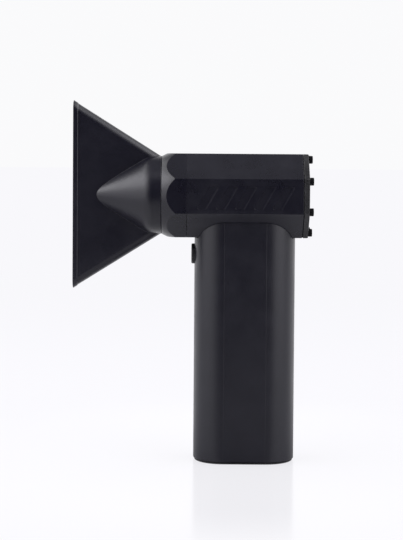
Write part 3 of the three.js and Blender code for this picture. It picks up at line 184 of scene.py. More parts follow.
LOOKS = {
    "nozzle_plastic": dict(color=(0.0047, 0.0045, 0.0099), roughness=0.325, wear=0.03,
                           bump=0.00003),
    "anodised_black": dict(color=(0.0042, 0.0040, 0.0092), roughness=0.295, wear=0.05),
    "grip_plastic": dict(color=(0.0036, 0.0034, 0.0087), roughness=0.34, wear=0.03, bump=0.00003),
    "rim_black": dict(color=(0.008, 0.008, 0.010), roughness=0.5, wear=0.03),
    "cover_grey": dict(color=(0.006, 0.006, 0.0072), roughness=0.42, specular=0.3, wear=0.4,
                       wear_color=(0.14, 0.14, 0.14), bump=0.00006, grain=1500.0, mottle=0.5,
                       rough_vary=0.12, speckle=0.009),
    "black_steel": dict(color=(0.002, 0.002, 0.003), roughness=0.55, specular=0.09, wear=0.04),
    "rubber_black": dict(color=(0.012, 0.012, 0.013), roughness=0.8, specular=0.3),
    "bare_aluminium": dict(color=(0.55, 0.56, 0.58), roughness=0.34, metallic=1.0,
                           brushed=(0.08, 1, 1), grain=1800.0, bump=0.000012),
    "bright_steel": dict(color=(0.45, 0.46, 0.48), roughness=0.25, metallic=1.0,
                         brushed=(1, 0.1, 0.1)),
    "core_steel": dict(color=(0.18, 0.18, 0.19), roughness=0.45, metallic=0.9,
                       brushed=(9, 0.05, 0.05), grain=900.0),
    "copper_wire": dict(color=(0.50, 0.20, 0.08), roughness=0.35, metallic=0.9,
                        brushed=(0.1, 1, 6), grain=1600.0, bump=0.00008),
    "magnet_grey": dict(color=(0.10, 0.10, 0.11), roughness=0.3, metallic=0.9),
    "board_green": dict(color=(0.010, 0.075, 0.030), roughness=0.4, mottle=0.25, coat=0.3),
    "chip_black": dict(color=(0.014, 0.014, 0.015), roughness=0.55, grain=1800.0),
    "cell_wrap": dict(color=(0.03, 0.14, 0.24), roughness=0.38, coat=0.4, mottle=0.12),
    "nickel": dict(color=(0.52, 0.51, 0.46), roughness=0.3, metallic=1.0, brushed=(0.1, 1, 1)),
    "holder_plastic": dict(color=(0.028, 0.028, 0.030), roughness=0.6),
    "wire_insulation": dict(color=(0.22, 0.018, 0.014), roughness=0.5),
}
FINISHES = {name: finish(name, **look) for name, look in LOOKS.items()}
for row in frame["record"]["subparts"]:
    carried = nodes[row["node"]]
    carried.data.materials.clear()
    carried.data.materials.append(FINISHES[row["material_slot"]])


# ---------------------------------------------------------------- mesh helpers

MERGE_DISTANCE, SLIVER_DISTANCE = 2e-6, 1e-7
NORMAL_WEIGHT = 60


def loft(rings, closed=False):
    """Quads between rings with equal numbers of points; ends are capped unless the rings close."""
    count = len(rings[0])
    points = [p for ring in rings for p in ring]
    faces = []
    for i in range(len(rings) if closed else len(rings) - 1):
        a, b = i * count, (i + 1) % len(rings) * count
        for k in range(count):
            q = (k + 1) % count
            faces.append((a + k, a + q, b + q, b + k))
    if not closed:
        faces.append(tuple(reversed(range(count))))
        faces.append(tuple(range((len(rings) - 1) * count, len(rings) * count)))
    return points, faces


def together(*shapes):
    """Several point and face lists as one."""
    points, faces = [], []
    for more_points, more_faces in shapes:
        start = len(points)
        points += more_points
        faces += [tuple(i + start for i in face) for face in more_faces]
    return points, faces


def solid(name, shape):
    """An object from a shape in millimetres."""
    points, faces = shape
    mesh = bpy.data.meshes.new(name)
    mesh.from_pydata([Vector(p) * MM for p in points], [], faces)
    work = bmesh.new()
    work.from_mesh(mesh)
    bmesh.ops.remove_doubles(work, verts=work.verts, dist=MERGE_DISTANCE)
    bmesh.ops.dissolve_degenerate(work, edges=work.edges, dist=SLIVER_DISTANCE)
    bmesh.ops.recalc_face_normals(work, faces=work.faces)
    work.to_mesh(mesh)
    work.free()
    made = bpy.data.objects.new(name, mesh)
    scene.collection.objects.link(made)
    return made


def cut(base, shape):
    """A shape taken away from an object."""
    tool = solid("tool", shape)
    step = base.modifiers.new("step", "BOOLEAN")
    step.operation = "DIFFERENCE"
    step.solver = "EXACT"
    step.object = tool
    bpy.context.view_layer.update()
    seen = base.evaluated_get(bpy.context.evaluated_depsgraph_get())
    result = bpy.data.meshes.new_from_object(seen)
    base.modifiers.clear()
    base.data = result
    bpy.data.objects.remove(tool)


def soften(made, width, angle):
    """The edges sharper than an angle, bevelled."""
    soft = made.modifiers.new("soft_edges", "BEVEL")
    soft.width = width * MM
    soft.segments = 2
    soft.limit_method = "ANGLE"
    soft.angle_limit = math.radians(angle)
    soft.harden_normals = False
    soft.miter_outer = "MITER_ARC"
    bpy.context.view_layer.objects.active = made
    for other in bpy.context.selected_objects:
        other.select_set(False)
    made.select_set(True)
    bpy.ops.object.modifier_apply(modifier="soft_edges")
    made.select_set(False)


def dress(made, body, slot, *stands_for, smooth, bevel=0.0, angle=50):
    """Smooth faces, soft edges, its finish, and what it rides on and stands for."""
    made.data.materials.clear()
    made.data.materials.append(FINISHES[slot])
    made.data.shade_smooth()
    if bevel:
        soften(made, bevel, angle)
    made.data.set_sharp_from_angle(angle=math.radians(smooth))
    even = made.modifiers.new("even_normals", "WEIGHTED_NORMAL")
    even.keep_sharp = True
    even.weight = NORMAL_WEIGHT
    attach(made, body)
    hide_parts(*stands_for)


def turns(count):
    """The angles of points spread evenly over a full turn, in radians."""
    return [2 * math.pi * i / count for i in range(count)]


def circle(count, radius, x):
    """A ring of points about the duct axis."""
    return [(x, radius * math.sin(a), AXIS_HEIGHT + radius * math.cos(a)) for a in turns(count)]


def level_circle(radius, y, z, count=36):
    """A level ring of points about an upright axis."""
    return [(radius * math.sin(a), y + radius * math.cos(a), z) for a in turns(count)]


def turned(profile, count, closed=True):
    """A profile of (x, radius) about the duct axis."""
    return loft([circle(count, r, x) for x, r in profile], closed=closed)


def hoop(radius, section, x, count, step):
    """A ring with a round section, its points a step in degrees apart."""
    rings = [circle(count, radius + section * math.sin(math.radians(a)),
                    x + section * math.cos(math.radians(a))) for a in range(0, 360, step)]
    return loft(rings, closed=True)


def moved(shape, dy=0.0, dz=0.0):
    """A shape moved across and up."""
    points, faces = shape
    return [(x, y + dy, z + dz) for x, y, z in points], faces


def arc(centre, radius, start, end, steps):
    """Points of an arc, ends included."""
    angles = [math.radians(start + (end - start) * i / steps) for i in range(steps + 1)]
    return [(centre[0] + radius * math.cos(a), centre[1] + radius * math.sin(a)) for a in angles]


def spaced(start, end, step):
    """Places from start to end, about a step apart."""
    count = max(1, round(abs(end - start) / step))
    return [start + (end - start) * i / count for i in range(count + 1)]


# ---------------------------------------------------------------- nozzle

COLLAR_BACK = -45.25
MOUTH = -93.0
COLLAR_RADIUS = 21.1
FAN_ROOT = COLLAR_BACK - 0.5
MOUTH_HALF = 50.7
FAN_SLOPE = (MOUTH_HALF - COLLAR_RADIUS) / (FAN_ROOT - MOUTH)
CONE_ANGLE = math.radians(30)
BLEND = 9.7
BLEND_START = COLLAR_BACK - 4.5
CONE_START = BLEND_START - BLEND * math.sin(CONE_ANGLE)
FAN_HALF = 5.0
FAN_EDGE, FAN_FILLET = 4.85, 0.3
NOZZLE_WALL = 1.6
AIRWAY_HALF = FAN_HALF - NOZZLE_WALL
AIRWAY_EDGE, AIRWAY_FILLET, AIRWAY_LEAST = 1.4, 0.8, 0.5
AIRWAY_END = -56.2
SOCKET_RADIUS = 18.65
SOCKET_END = -54.6
LIP_START = MOUTH + 2.6
LIP_SLANT = 1.18
# (x from the collar's back, radius more than the collar's or the socket's)
COLLAR_EDGE = ((0.12, -0.2), (0.07, -0.08), (0.0, -0.02), (-0.15, 0.0))
SOCKET_CHAMFER = ((-0.6, 0.0), (0.12, 0.5))
# where the cone's rings get further apart, how far apart they stand on the blend, the cone, the
# fan and the airway, and x from the cone's tip of the rings there
BLEND_END = -56.0
BLEND_STEP, CONE_STEP, FAN_STEP, AIRWAY_STEP = 0.4, 1.0, 1.6, 1.5
TIP_STEPS = (0.5, 0.2, 0.0, -0.5)
# (x from the lip's start or from the mouth, how proud the surface stands)
LIP_STEP = ((0.1, 0.0), (-0.05, 0.06), (-0.2, 0.16), (-0.4, 0.22))
MOUTH_EDGE = ((1.2, 0.22), (0.3, 0.22), (0.1, 0.16), (0.0, 0.02))
AIRWAY_MOUTH = ((0.0, 0.2), (0.1, 0.06), (0.3, 0.0))
# points of a quarter of a nozzle ring, from the top of the fan to the side of the cone
FLAT_POINTS, ROUND_POINTS, SIDE_POINTS, FILLET_POINTS, ARC_POINTS = 3, 8, 8, 4, 18


def cone_radius(x):
    """The collar, blended into the cone ahead of it."""
    if x >= BLEND_START:
        return COLLAR_RADIUS
    ahead = BLEND_START - x
    if ahead <= BLEND * math.sin(CONE_ANGLE):
        return COLLAR_RADIUS - BLEND + math.sqrt(BLEND ** 2 - ahead ** 2)
    straight = ahead - BLEND * math.sin(CONE_ANGLE)
    return (COLLAR_RADIUS - BLEND * (1 - math.cos(CONE_ANGLE))
            - straight * math.tan(CONE_ANGLE))


def fan_half_height(x):
    """The fan widens evenly from the collar to the mouth."""
    return COLLAR_RADIUS + FAN_SLOPE * (FAN_ROOT - x)


def whole_ring(x, quarter):
    """A ring from its quarter, which runs from the top to the side as (y, z)."""
    ring = list(quarter)
    ring += [(y, -z) for y, z in reversed(quarter[:-1])]
    ring += [(-y, -z) for y, z in quarter[1:]]
    ring += [(-y, z) for y, z in reversed(quarter[1:-1])]
    return [(x, y, AXIS_HEIGHT + z) for y, z in ring]


def round_ring(x, radius, thickness=FAN_HALF):
    """A circle whose points are spread as those of a nozzle ring are."""
    split = math.degrees(math.asin(thickness / radius))
    first = FLAT_POINTS + ROUND_POINTS + SIDE_POINTS + FILLET_POINTS
    angles = [split * i / first for i in range(first)]
    angles += [split + (90 - split) * i / (ARC_POINTS - 1) for i in range(ARC_POINTS)]
    quarter = [(radius * math.sin(math.radians(a)), radius * math.cos(math.radians(a)))
               for a in angles]
    return whole_ring(x, quarter)


def bar_meets_circle(radius, height, thickness, edge, fillet):
    """The fillet's centre, where it touches the bar, and the angle where the bar's edge ends.

    The centre is None where the bar is thicker than the circle and covers it.
    """
    centre = Vector((thickness - edge, height - edge))
    squared = (radius + fillet) ** 2 - (thickness + fillet) ** 2
    if squared <= 0:
        return None, Vector((thickness, 0.0)), 0.0
    if math.sqrt(squared) <= height - edge:
        meet = Vector((thickness + fillet, math.sqrt(squared)))
        return meet, Vector((thickness, meet.y)), 0.0
    distance = centre.length
    along = ((edge + fillet) ** 2 - (radius + fillet) ** 2 + distance ** 2) / (2 * distance)
    across = math.sqrt(max(0.0, (edge + fillet) ** 2 - along ** 2))
    unit = centre / distance
    foot = centre - unit * along
    aside = Vector((unit.y, -unit.x)) * across
    meet = max((foot + aside, foot - aside), key=lambda p: p.x)
    on_bar = centre + (meet - centre) * (edge / (edge + fillet))
    return meet, on_bar, math.degrees(math.atan2(on_bar.y - centre.y, on_bar.x - centre.x))


def nozzle_ring(x, radius, height, thickness, edge, fillet):
    """A flat bar with round edges, joined to a circle by a small fillet."""
    meet, on_bar, last = bar_meets_circle(radius, height, thickness, edge, fillet)
    centre = Vector((thickness - edge, height - edge))
    quarter = [(centre.x * i / (FLAT_POINTS - 1), height) for i in range(FLAT_POINTS)]
    quarter += arc(centre, edge, 90, last, ROUND_POINTS)[1:]
    start = Vector(quarter[-1])
    quarter += [tuple(start.lerp(on_bar, (i + 1) / SIDE_POINTS)) for i in range(SIDE_POINTS)]
    if meet is None:
        quarter += [tuple(on_bar)] * (FILLET_POINTS + ARC_POINTS)
        return whole_ring(x, quarter)
    on_circle = meet * (radius / (radius + fillet))
    first = math.degrees(math.atan2(on_bar.y - meet.y, on_bar.x - meet.x))
    second = math.degrees(math.atan2(on_circle.y - meet.y, on_circle.x - meet.x))
    if second - first > 180:
        second -= 360
    if first - second > 180:
        second += 360
    quarter += arc(meet, fillet, first, second, FILLET_POINTS)[1:]
    final = math.degrees(math.atan2(on_circle.y, on_circle.x))
    quarter += arc((0, 0), radius, final, 0, ARC_POINTS)[1:]
    return whole_ring(x, quarter)


def outer_ring(x, grow=0.0):
    """The nozzle's outside, which stands proud by grow at the lip."""
    return nozzle_ring(x, cone_radius(x), fan_half_height(x) + grow * LIP_SLANT, FAN_HALF + grow,
                       FAN_EDGE + grow / 2, FAN_FILLET)


def inner_ring(x, grow=0.0):
    """The airway, one wall inside the outside and wider by grow at the mouth."""
    height = fan_half_height(x) - (NOZZLE_WALL - grow) * math.hypot(1, FAN_SLOPE)
    radius = max(AIRWAY_LEAST, cone_radius(x) - NOZZLE_WALL)
    return nozzle_ring(x, radius, height, FAN_HALF - NOZZLE_WALL + grow, AIRWAY_EDGE,
                       AIRWAY_FILLET)


TIP = CONE_START - (cone_radius(CONE_START) - FAN_HALF) / math.tan(CONE_ANGLE)
rings = [round_ring(COLLAR_BACK + dx, COLLAR_RADIUS + dr) for dx, dr in COLLAR_EDGE]
rings += [round_ring(FAN_ROOT - 0.02, COLLAR_RADIUS)]
rings += [outer_ring(x) for x in spaced(FAN_ROOT - 0.25, BLEND_END, BLEND_STEP)]
rings += [outer_ring(x) for x in spaced(BLEND_END - CONE_STEP, TIP + CONE_STEP, CONE_STEP)]
rings += [outer_ring(TIP + dx) for dx in TIP_STEPS]
rings += [outer_ring(x) for x in spaced(TIP - 1.5, LIP_START + 0.3, FAN_STEP)]
rings += [outer_ring(LIP_START + dx, grow) for dx, grow in LIP_STEP]
rings += [outer_ring(MOUTH + dx, grow) for dx, grow in MOUTH_EDGE]
rings += [inner_ring(MOUTH + dx, grow) for dx, grow in AIRWAY_MOUTH]
rings += [inner_ring(x) for x in spaced(MOUTH + AIRWAY_STEP, AIRWAY_END, AIRWAY_STEP)]
rings += [round_ring(x, cone_radius(x) - NOZZLE_WALL, AIRWAY_HALF)
          for x in (AIRWAY_END, SOCKET_END)]
rings += [round_ring(SOCKET_END, SOCKET_RADIUS)]
rings += [round_ring(COLLAR_BACK + dx, SOCKET_RADIUS + dr) for dx, dr in SOCKET_CHAMFER]
dress(solid("nozzle_moulding", loft(rings, closed=True)), "nozzle_unit", "nozzle_plastic",
      "nozzle", smooth=38)


# ---------------------------------------------------------------- nose ring

FLAT_HALF = 22.5
NOSE_FACE = -45.0
NOSE_SEAM = -31.6
NOSE_ARC = 43.0
NOSE_SLOPE = math.radians(28.5)
NOSE_STEP = 0.4
CORNER_ROUND = 0.55
UNCUT = 99.0  # a limit beyond every corner
HALF_SECTOR = math.pi / 8
FLAT_PARTS, CORNER_PARTS = 7, 7
SPREAD = [HALF_SECTOR * i / (FLAT_PARTS + CORNER_PARTS)
          for i in range(FLAT_PARTS + CORNER_PARTS + 1)]


def sector_ring(x, angles, radii):
    """A ring of eight like sectors from the angles and radii of half a sector."""
    half = list(zip(angles, radii))
    sector = [(-a, r) for a, r in reversed(half)][:-1] + half[:-1]
    ring = []
    for k in range(8):
        for a, r in sector:
            turn = k * math.pi / 4 + a
            ring.append((x, r * math.sin(turn), AXIS_HEIGHT + r * math.cos(turn)))
    return ring


def even_ring(x, radius):
    """A circle whose points match those of an octagon."""
    return sector_ring(x, SPREAD, [radius] * len(SPREAD))


def octagon_ring(x, limit=UNCUT, inset=0.0):
    """An octagon with soft corners, cut by a circle of radius limit."""
    flat = FLAT_HALF - inset
    limit = limit - inset
    cut_at = math.acos(min(1.0, flat / limit))
    soft = math.atan((flat - CORNER_ROUND) * math.tan(HALF_SECTOR) / flat)
    heart = (flat - CORNER_ROUND) / math.cos(HALF_SECTOR)
    first = min(cut_at, soft)
    angles = [first * i / FLAT_PARTS for i in range(FLAT_PARTS)]
    angles += [first + (HALF_SECTOR - first) * i / CORNER_PARTS for i in range(CORNER_PARTS + 1)]
    radii = []
    for angle in angles:
        if angle <= soft:
            radius = flat / math.cos(angle)
        else:
            aside = heart * math.sin(HALF_SECTOR - angle)
            radius = heart * math.cos(HALF_SECTOR - angle)
            radius += math.sqrt(max(0.0, CORNER_ROUND ** 2 - aside ** 2))
        radii.append(min(radius, limit))
    return sector_ring(x, angles, radii)


def nose_limit(x):
    """The turned nose: an arc that leaves the collar's radius at a slope."""
    centre_x = NOSE_FACE + NOSE_ARC * math.sin(NOSE_SLOPE)
    centre_r = COLLAR_RADIUS - NOSE_ARC * math.cos(NOSE_SLOPE)
    return centre_r + math.sqrt(NOSE_ARC ** 2 - (centre_x - x) ** 2)


SEAT_RADIUS = 20.25
SPIGOT_RADIUS, SPIGOT_BORE, SPIGOT_END = 18.4, 16.4, -53.0
GROOVE, GROOVE_HALF, GROOVE_RADIUS = -49.0, 0.9, 16.85
O_RING_RADIUS, O_RING_SECTION = 17.75, 0.75
# (x, radius) from the seat in the barrel through the bore, round the spigot to the nose's face
NOSE_INSIDE = (
    (NOSE_SEAM, SEAT_RADIUS), (-27.5, SEAT_RADIUS), (-27.2, 19.95), (-27.2, 18.6), (-27.4, 18.4),
    (-38.6, 17.07), (NOSE_FACE, SPIGOT_BORE), (SPIGOT_END + 0.3, SPIGOT_BORE), (SPIGOT_END, 16.7),
    (SPIGOT_END, 18.1), (SPIGOT_END + 0.3, SPIGOT_RADIUS), (GROOVE - GROOVE_HALF, SPIGOT_RADIUS),
    (GROOVE - GROOVE_HALF, GROOVE_RADIUS), (GROOVE + GROOVE_HALF, GROOVE_RADIUS),
    (GROOVE + GROOVE_HALF, SPIGOT_RADIUS), (NOSE_FACE - 0.2, SPIGOT_RADIUS), (NOSE_FACE, 18.6),
    (NOSE_FACE, COLLAR_RADIUS - 0.16), (NOSE_FACE + 0.05, COLLAR_RADIUS - 0.05),
)
rings = [octagon_ring(x, nose_limit(x))
         for x in spaced(NOSE_FACE + 0.2, NOSE_SEAM - 0.45, NOSE_STEP)]
rings += [octagon_ring(NOSE_SEAM, nose_limit(NOSE_SEAM))]
rings += [even_ring(x, r) for x, r in NOSE_INSIDE]
dress(solid("nose_ring_turned", loft(rings, closed=True)), "housing", "anodised_black",
      "nose_ring", smooth=24)
dress(solid("o_ring_moulded", hoop(O_RING_RADIUS, O_RING_SECTION, GROOVE, 96, 30)), "seal",
      "rubber_black", "o_ring", smooth=60)


# ---------------------------------------------------------------- barrel

BODY_FRONT, BODY_REAR = -31.57, 30.5
SEAM_GAP, SEAM_DROP, SEAM_REACH = 0.32, 15.5, 7.0
BODY_BORE, COVER_SEAT = 20.5, 18.6
POCKET_COUNT, POCKET_PITCH = 5, 10.05
POCKET_WIDTH, POCKET_HEIGHT, POCKET_LEAN = 5.6, 12.2, 7.0
POCKET_BACK, POCKET_DROP, POCKET_DEPTH = 22.75, 0.95, 0.4
POCKET_RADII = (1.3, 0.5, 0.6, 0.6)
ROUND_STEPS = 5


def seam_opened(ring):
    """A gap of a hair at the seam, over the lower chamfers only."""
    return [(x + SEAM_GAP * max(0.0, 1 - abs(AXIS_HEIGHT - SEAM_DROP - z) / SEAM_REACH) ** 0.5,
             y, z) for x, y, z in ring]


def rounded(corners, radii):
    """An outline through four corners, each rounded by its own radius."""
    outline = []
    for i, (x, z) in enumerate(corners):
        here = Vector((x, z))
        before = Vector(corners[i - 1]) - here
        after = Vector(corners[(i + 1) % 4]) - here
        reach = radii[i] / math.tan(before.angle(after) / 2)
        start, end = here + before.normalized() * reach, here + after.normalized() * reach
        for k in range(ROUND_STEPS + 1):
            t = k / ROUND_STEPS
            outline.append((1 - t) ** 2 * start + 2 * t * (1 - t) * here + t * t * end)
    return outline


def pocket_ring(right, side, depth, front=0.0, back=0.0, low=0.0, high=0.0, ramp=0.0):
    """A pocket's outline at a depth, drawn in from its front, back, lower and upper edges.

    A ramp lifts the front of the ring by that share of the depth.
    """
    middle = right - POCKET_WIDTH / 2
    lean = POCKET_LEAN / POCKET_HEIGHT
    bottom = -POCKET_DROP - POCKET_HEIGHT / 2 + low
    top = -POCKET_DROP + POCKET_HEIGHT / 2 - high
    corners = []
    for z, at_back in ((bottom, False), (bottom, True), (top, True), (top, False)):
        x = middle + lean * (z + POCKET_DROP)
        x += POCKET_WIDTH / 2 - back if at_back else front - POCKET_WIDTH / 2
        corners.append((x, z))
    outline = rounded(corners, POCKET_RADII)
    along = [q.x - lean * (q.y + POCKET_DROP) - middle for q in outline]
    share = [(a - min(along)) / (max(along) - min(along)) for a in along]
    return [(q.x, side * (FLAT_HALF - depth * (1 - ramp * (1 - s))), AXIS_HEIGHT + q.y)
            for q, s in zip(outline, share)]


def pocket(right, side):
    """A leaning pocket in a side face; its floor deepens to the rear, where the wall slopes up."""
    return loft([
        pocket_ring(right, side, POCKET_DEPTH, front=0.1, back=1.7, low=0.12, high=0.06,
                    ramp=0.6),
        pocket_ring(right, side, 0.05, front=0.03, back=0.3, low=0.03, high=0.02),
        pocket_ring(right, side, 0.0),
        pocket_ring(right, side, -2.0),
    ])


rings = [seam_opened(octagon_ring(BODY_FRONT)), octagon_ring(BODY_REAR - 0.35),
         octagon_ring(BODY_REAR - 0.12, inset=0.08), octagon_ring(BODY_REAR, inset=0.3)]
rings += [even_ring(x, r) for x, r in (
    (BODY_REAR, COVER_SEAT + 0.3), (BODY_REAR - 0.3, COVER_SEAT), (BODY_REAR - 4, COVER_SEAT),
    (BODY_REAR - 4, BODY_BORE), (BODY_FRONT + 0.6, BODY_BORE), (BODY_FRONT + 0.3, BODY_BORE + 0.3))]
barrel = solid("barrel", loft(rings, closed=True))
for side in (-1, 1):
    for i in range(POCKET_COUNT):
        cut(barrel, pocket(POCKET_BACK - i * POCKET_PITCH, side))
dress(barrel, "housing", "anodised_black", "head_body", smooth=24)


# ---------------------------------------------------------------- rear cover, grille and screws

COVER_FRONT, COVER_BACK = 30.75, 33.7
INTAKE_RADIUS, GRILLE_SEAT, GRILLE_STOP = 17.2, 18.85, 32.0
rings = [octagon_ring(COVER_FRONT, inset=0.3), octagon_ring(COVER_FRONT + 0.3),
         octagon_ring(COVER_BACK - 0.5), octagon_ring(COVER_BACK - 0.15, inset=0.14),
         octagon_ring(COVER_BACK, inset=0.5)]
rings += [even_ring(x, r) for x, r in (
    (COVER_BACK, INTAKE_RADIUS + 0.6), (COVER_BACK - 0.15, INTAKE_RADIUS + 0.2),
    (COVER_BACK - 0.5, INTAKE_RADIUS), (GRILLE_STOP, INTAKE_RADIUS), (GRILLE_STOP, GRILLE_SEAT),
    (COVER_FRONT, GRILLE_SEAT))]
cover = solid("rear_plate", loft(rings, closed=True))
SCREW_CIRCLE = 21.2
SCREW_HOLE = ((30, 1.15), (35, 1.15))  # (x, radius)
SCREWS = [(SCREW_CIRCLE * math.cos(math.radians(22.5 + 45 * i)),
           SCREW_CIRCLE * math.sin(math.radians(22.5 + 45 * i))) for i in range(8)]
for y, z in SCREWS:
    cut(cover, moved(turned(SCREW_HOLE, 24, closed=False), dy=y, dz=z))
dress(cover, "housing", "cover_grey", "rear_cover", bevel=0.15, smooth=30)

HEAD_FRONT, HEAD_BACK, HEAD_POINTS = 33.85, 35.85, 36
# (x, radius) of the shank and of the socket's pointed floor
SHANK, SOCKET_FLOOR = ((27.3, 0.2), (27.6, 1.0), (HEAD_FRONT, 1.0)), (HEAD_BACK - 1.25, 0.1)
# (x, radius, depth of the knurl)
HEAD = ((HEAD_FRONT, 2.0, 0.0), (HEAD_FRONT + 0.1, 2.1, 0.03), (HEAD_BACK - 0.35, 2.1, 0.03),
        (HEAD_BACK - 0.12, 2.03, 0.0), (HEAD_BACK, 1.85, 0.0))
# (x, radius over the corners) of the hexagon socket
SOCKET = ((HEAD_BACK, 1.12), (HEAD_BACK - 0.1, 1.0), (HEAD_BACK - 1.0, 1.0))


def hexagon(radius):
    """A hexagon as (y, z) about the origin, with as many points as a screw's rings."""
    ring = []
    for angle in turns(HEAD_POINTS):
        apart = (angle + math.pi / 6) % (math.pi / 3) - math.pi / 6
        r = radius * math.cos(math.pi / 6) / math.cos(apart)
        ring.append((r * math.sin(angle), r * math.cos(angle)))
    return ring


def knurled(x, radius, knurl):
    """A circle about the duct axis with every other point drawn in."""
    return [(x, (radius - knurl * (i % 2)) * math.sin(a),
             AXIS_HEIGHT + (radius - knurl * (i % 2)) * math.cos(a))
            for i, a in enumerate(turns(HEAD_POINTS))]


def cap_screw():
    """A socket-head screw along X, its head to the rear, with a fine knurl round the head."""
    rings = [circle(HEAD_POINTS, r, x) for x, r in SHANK]
    rings += [knurled(*row) for row in HEAD]
    rings += [[(x, y, AXIS_HEIGHT + z) for y, z in hexagon(r)] for x, r in SOCKET]
    x, r = SOCKET_FLOOR
    return loft(rings + [circle(HEAD_POINTS, r, x)])


for i, (y, z) in enumerate(SCREWS):
    dress(solid(f"cap_screw_{i + 1}", moved(cap_screw(), dy=y, dz=z)), "housing", "black_steel",
          f"cover_screw_{i + 1}", smooth=40)

GRILLE_X, WIRE = 31.25, 0.45
WIRE_RINGS, SPOKE_COUNT, SPOKE_ENDS = (5.73, 11.47), 6, (2.0, 17.0)
# (x, radius) round each turned part
GRILLE_RIM = ((30.75, 16.5), (30.75, 18.6), (31.75, 18.6), (31.75, 16.6), (31.6, 16.4),
              (30.9, 16.4))
GRILLE_HUB = ((30.75, 0.001), (30.75, 2.6), (30.95, 2.87), (31.55, 2.87), (31.75, 2.6),
              (31.75, 0.001))


def spoke(angle):
    """A straight wire from the hub to the rim."""
    turn = Matrix.Rotation(angle, 3, "X")
    return loft([[
        tuple(turn @ Vector((WIRE * math.cos(a), WIRE * math.sin(a), r))
              + Vector((GRILLE_X, 0, AXIS_HEIGHT))) for a in turns(8)] for r in SPOKE_ENDS])


parts = [turned(GRILLE_RIM, 72), turned(GRILLE_HUB, 40)]
parts += [hoop(radius, WIRE, GRILLE_X, 72, 45) for radius in WIRE_RINGS]
parts += [spoke(i * math.pi / 3) for i in range(SPOKE_COUNT)]
dress(solid("grille_wire", together(*parts)), "housing", "black_steel", "intake_grille",
      smooth=50)


# ---------------------------------------------------------------- handle

GRIP_HALF_X, GRIP_HALF_Y, GRIP_CORNER, GRIP_STEPS = 27.2, 18.0, 16.0, 14
# the side along X, the side along Y, and the angle where the corner's arc starts
GRIP_CORNERS = ((1, 1, 90), (1, -1, 0), (-1, -1, -90), (-1, 1, 180))
FLAT_PROUD, FLAT_RUN, FLAT_SHARE = 0.06, 0.12, 0.75
SHELL_BOTTOM, SHELL_TOP, SHELL_WALL, SHELL_CEILING = 1.25, 132.15, 2.2, 115.4
SADDLE_HALF, SADDLE_ENDS = 22.75, (-60, 60)
BUTTON_HEIGHT, BUTTON_HOLE = 111.7, ((-30, 5.7), (-21, 5.7))
PORT_HEIGHT, PORT_HALF, PORT_ROUND, PORT_ENDS = 94.7, 2.87, 1.8, (22, 30)
FOOT_SCREW_Y = 12.6


def grip_ring(z, inset=0.0):
    """The grip's section: the long flats stand a hair proud of the round ends."""
    flat = GRIP_HALF_X - GRIP_CORNER
    side_y = GRIP_HALF_Y - inset
    ring = []
    for sx, sy, start in GRIP_CORNERS:
        centre = (sx * (flat + FLAT_PROUD), sy * (GRIP_HALF_Y - GRIP_CORNER))
        points = arc(centre, GRIP_CORNER - inset - FLAT_PROUD, start, start - 90, GRIP_STEPS)
        lead = [(sx * flat, sy * side_y),
                (sx * (flat + FLAT_RUN), sy * (side_y - FLAT_PROUD * FLAT_SHARE))]
        ring += lead + points if sx * sy > 0 else points + lead[::-1]
    return [(x, y, z) for x, y in ring]


def plain_ring(z, inset):
    """The grip's section without the step beside the flats."""
    ring = []
    for sx, sy, start in GRIP_CORNERS:
        centre = (sx * (GRIP_HALF_X - GRIP_CORNER), sy * (GRIP_HALF_Y - GRIP_CORNER))
        ring += arc(centre, GRIP_CORNER - inset, start, start - 90, GRIP_STEPS)
    return [(x, y, z) for x, y in ring]


def saddle():
    """The octagonal bar along X that the barrel takes away from the grip."""
    radius = SADDLE_HALF / math.cos(HALF_SECTOR)
    angles = [HALF_SECTOR + i * math.pi / 4 for i in range(8)]
    return loft([[(x, radius * math.sin(a), AXIS_HEIGHT + radius * math.cos(a)) for a in angles]
                 for x in SADDLE_ENDS])


def port_outline():
    """The charge port's opening, an upright slot with round ends, as (y, z)."""
    ends = [(a, PORT_HALF) for a in range(0, 181, 15)]
    ends += [(a, -PORT_HALF) for a in range(195, 361, 15)]
    return [(PORT_ROUND * math.cos(math.radians(a)), z + PORT_ROUND * math.sin(math.radians(a)))
            for a, z in ends]


shell = solid("grip", loft([grip_ring(SHELL_BOTTOM, 0.35), grip_ring(SHELL_BOTTOM + 0.12, 0.1),
                            grip_ring(SHELL_BOTTOM + 0.4), grip_ring(SHELL_TOP)]))
cut(shell, saddle())
cut(shell, loft([plain_ring(-5, SHELL_WALL), plain_ring(SHELL_CEILING, SHELL_WALL)]))
cut(shell, moved(turned(BUTTON_HOLE, 48, closed=False), dz=BUTTON_HEIGHT - AXIS_HEIGHT))
cut(shell, loft([[(x, y, PORT_HEIGHT + z) for y, z in port_outline()] for x in PORT_ENDS]))
dress(shell, "housing", "grip_plastic", "handle_shell", bevel=0.22, angle=48, smooth=14)

# (z, inset from the grip's section) up round the foot, with the groove over it
FOOT = ((0.0, 1.5), (0.08, 1.05), (0.3, 0.72), (0.55, 0.6), (0.85, 0.6), (1.0, 0.75),
        (1.0, 2.45), (4.2, 2.45))
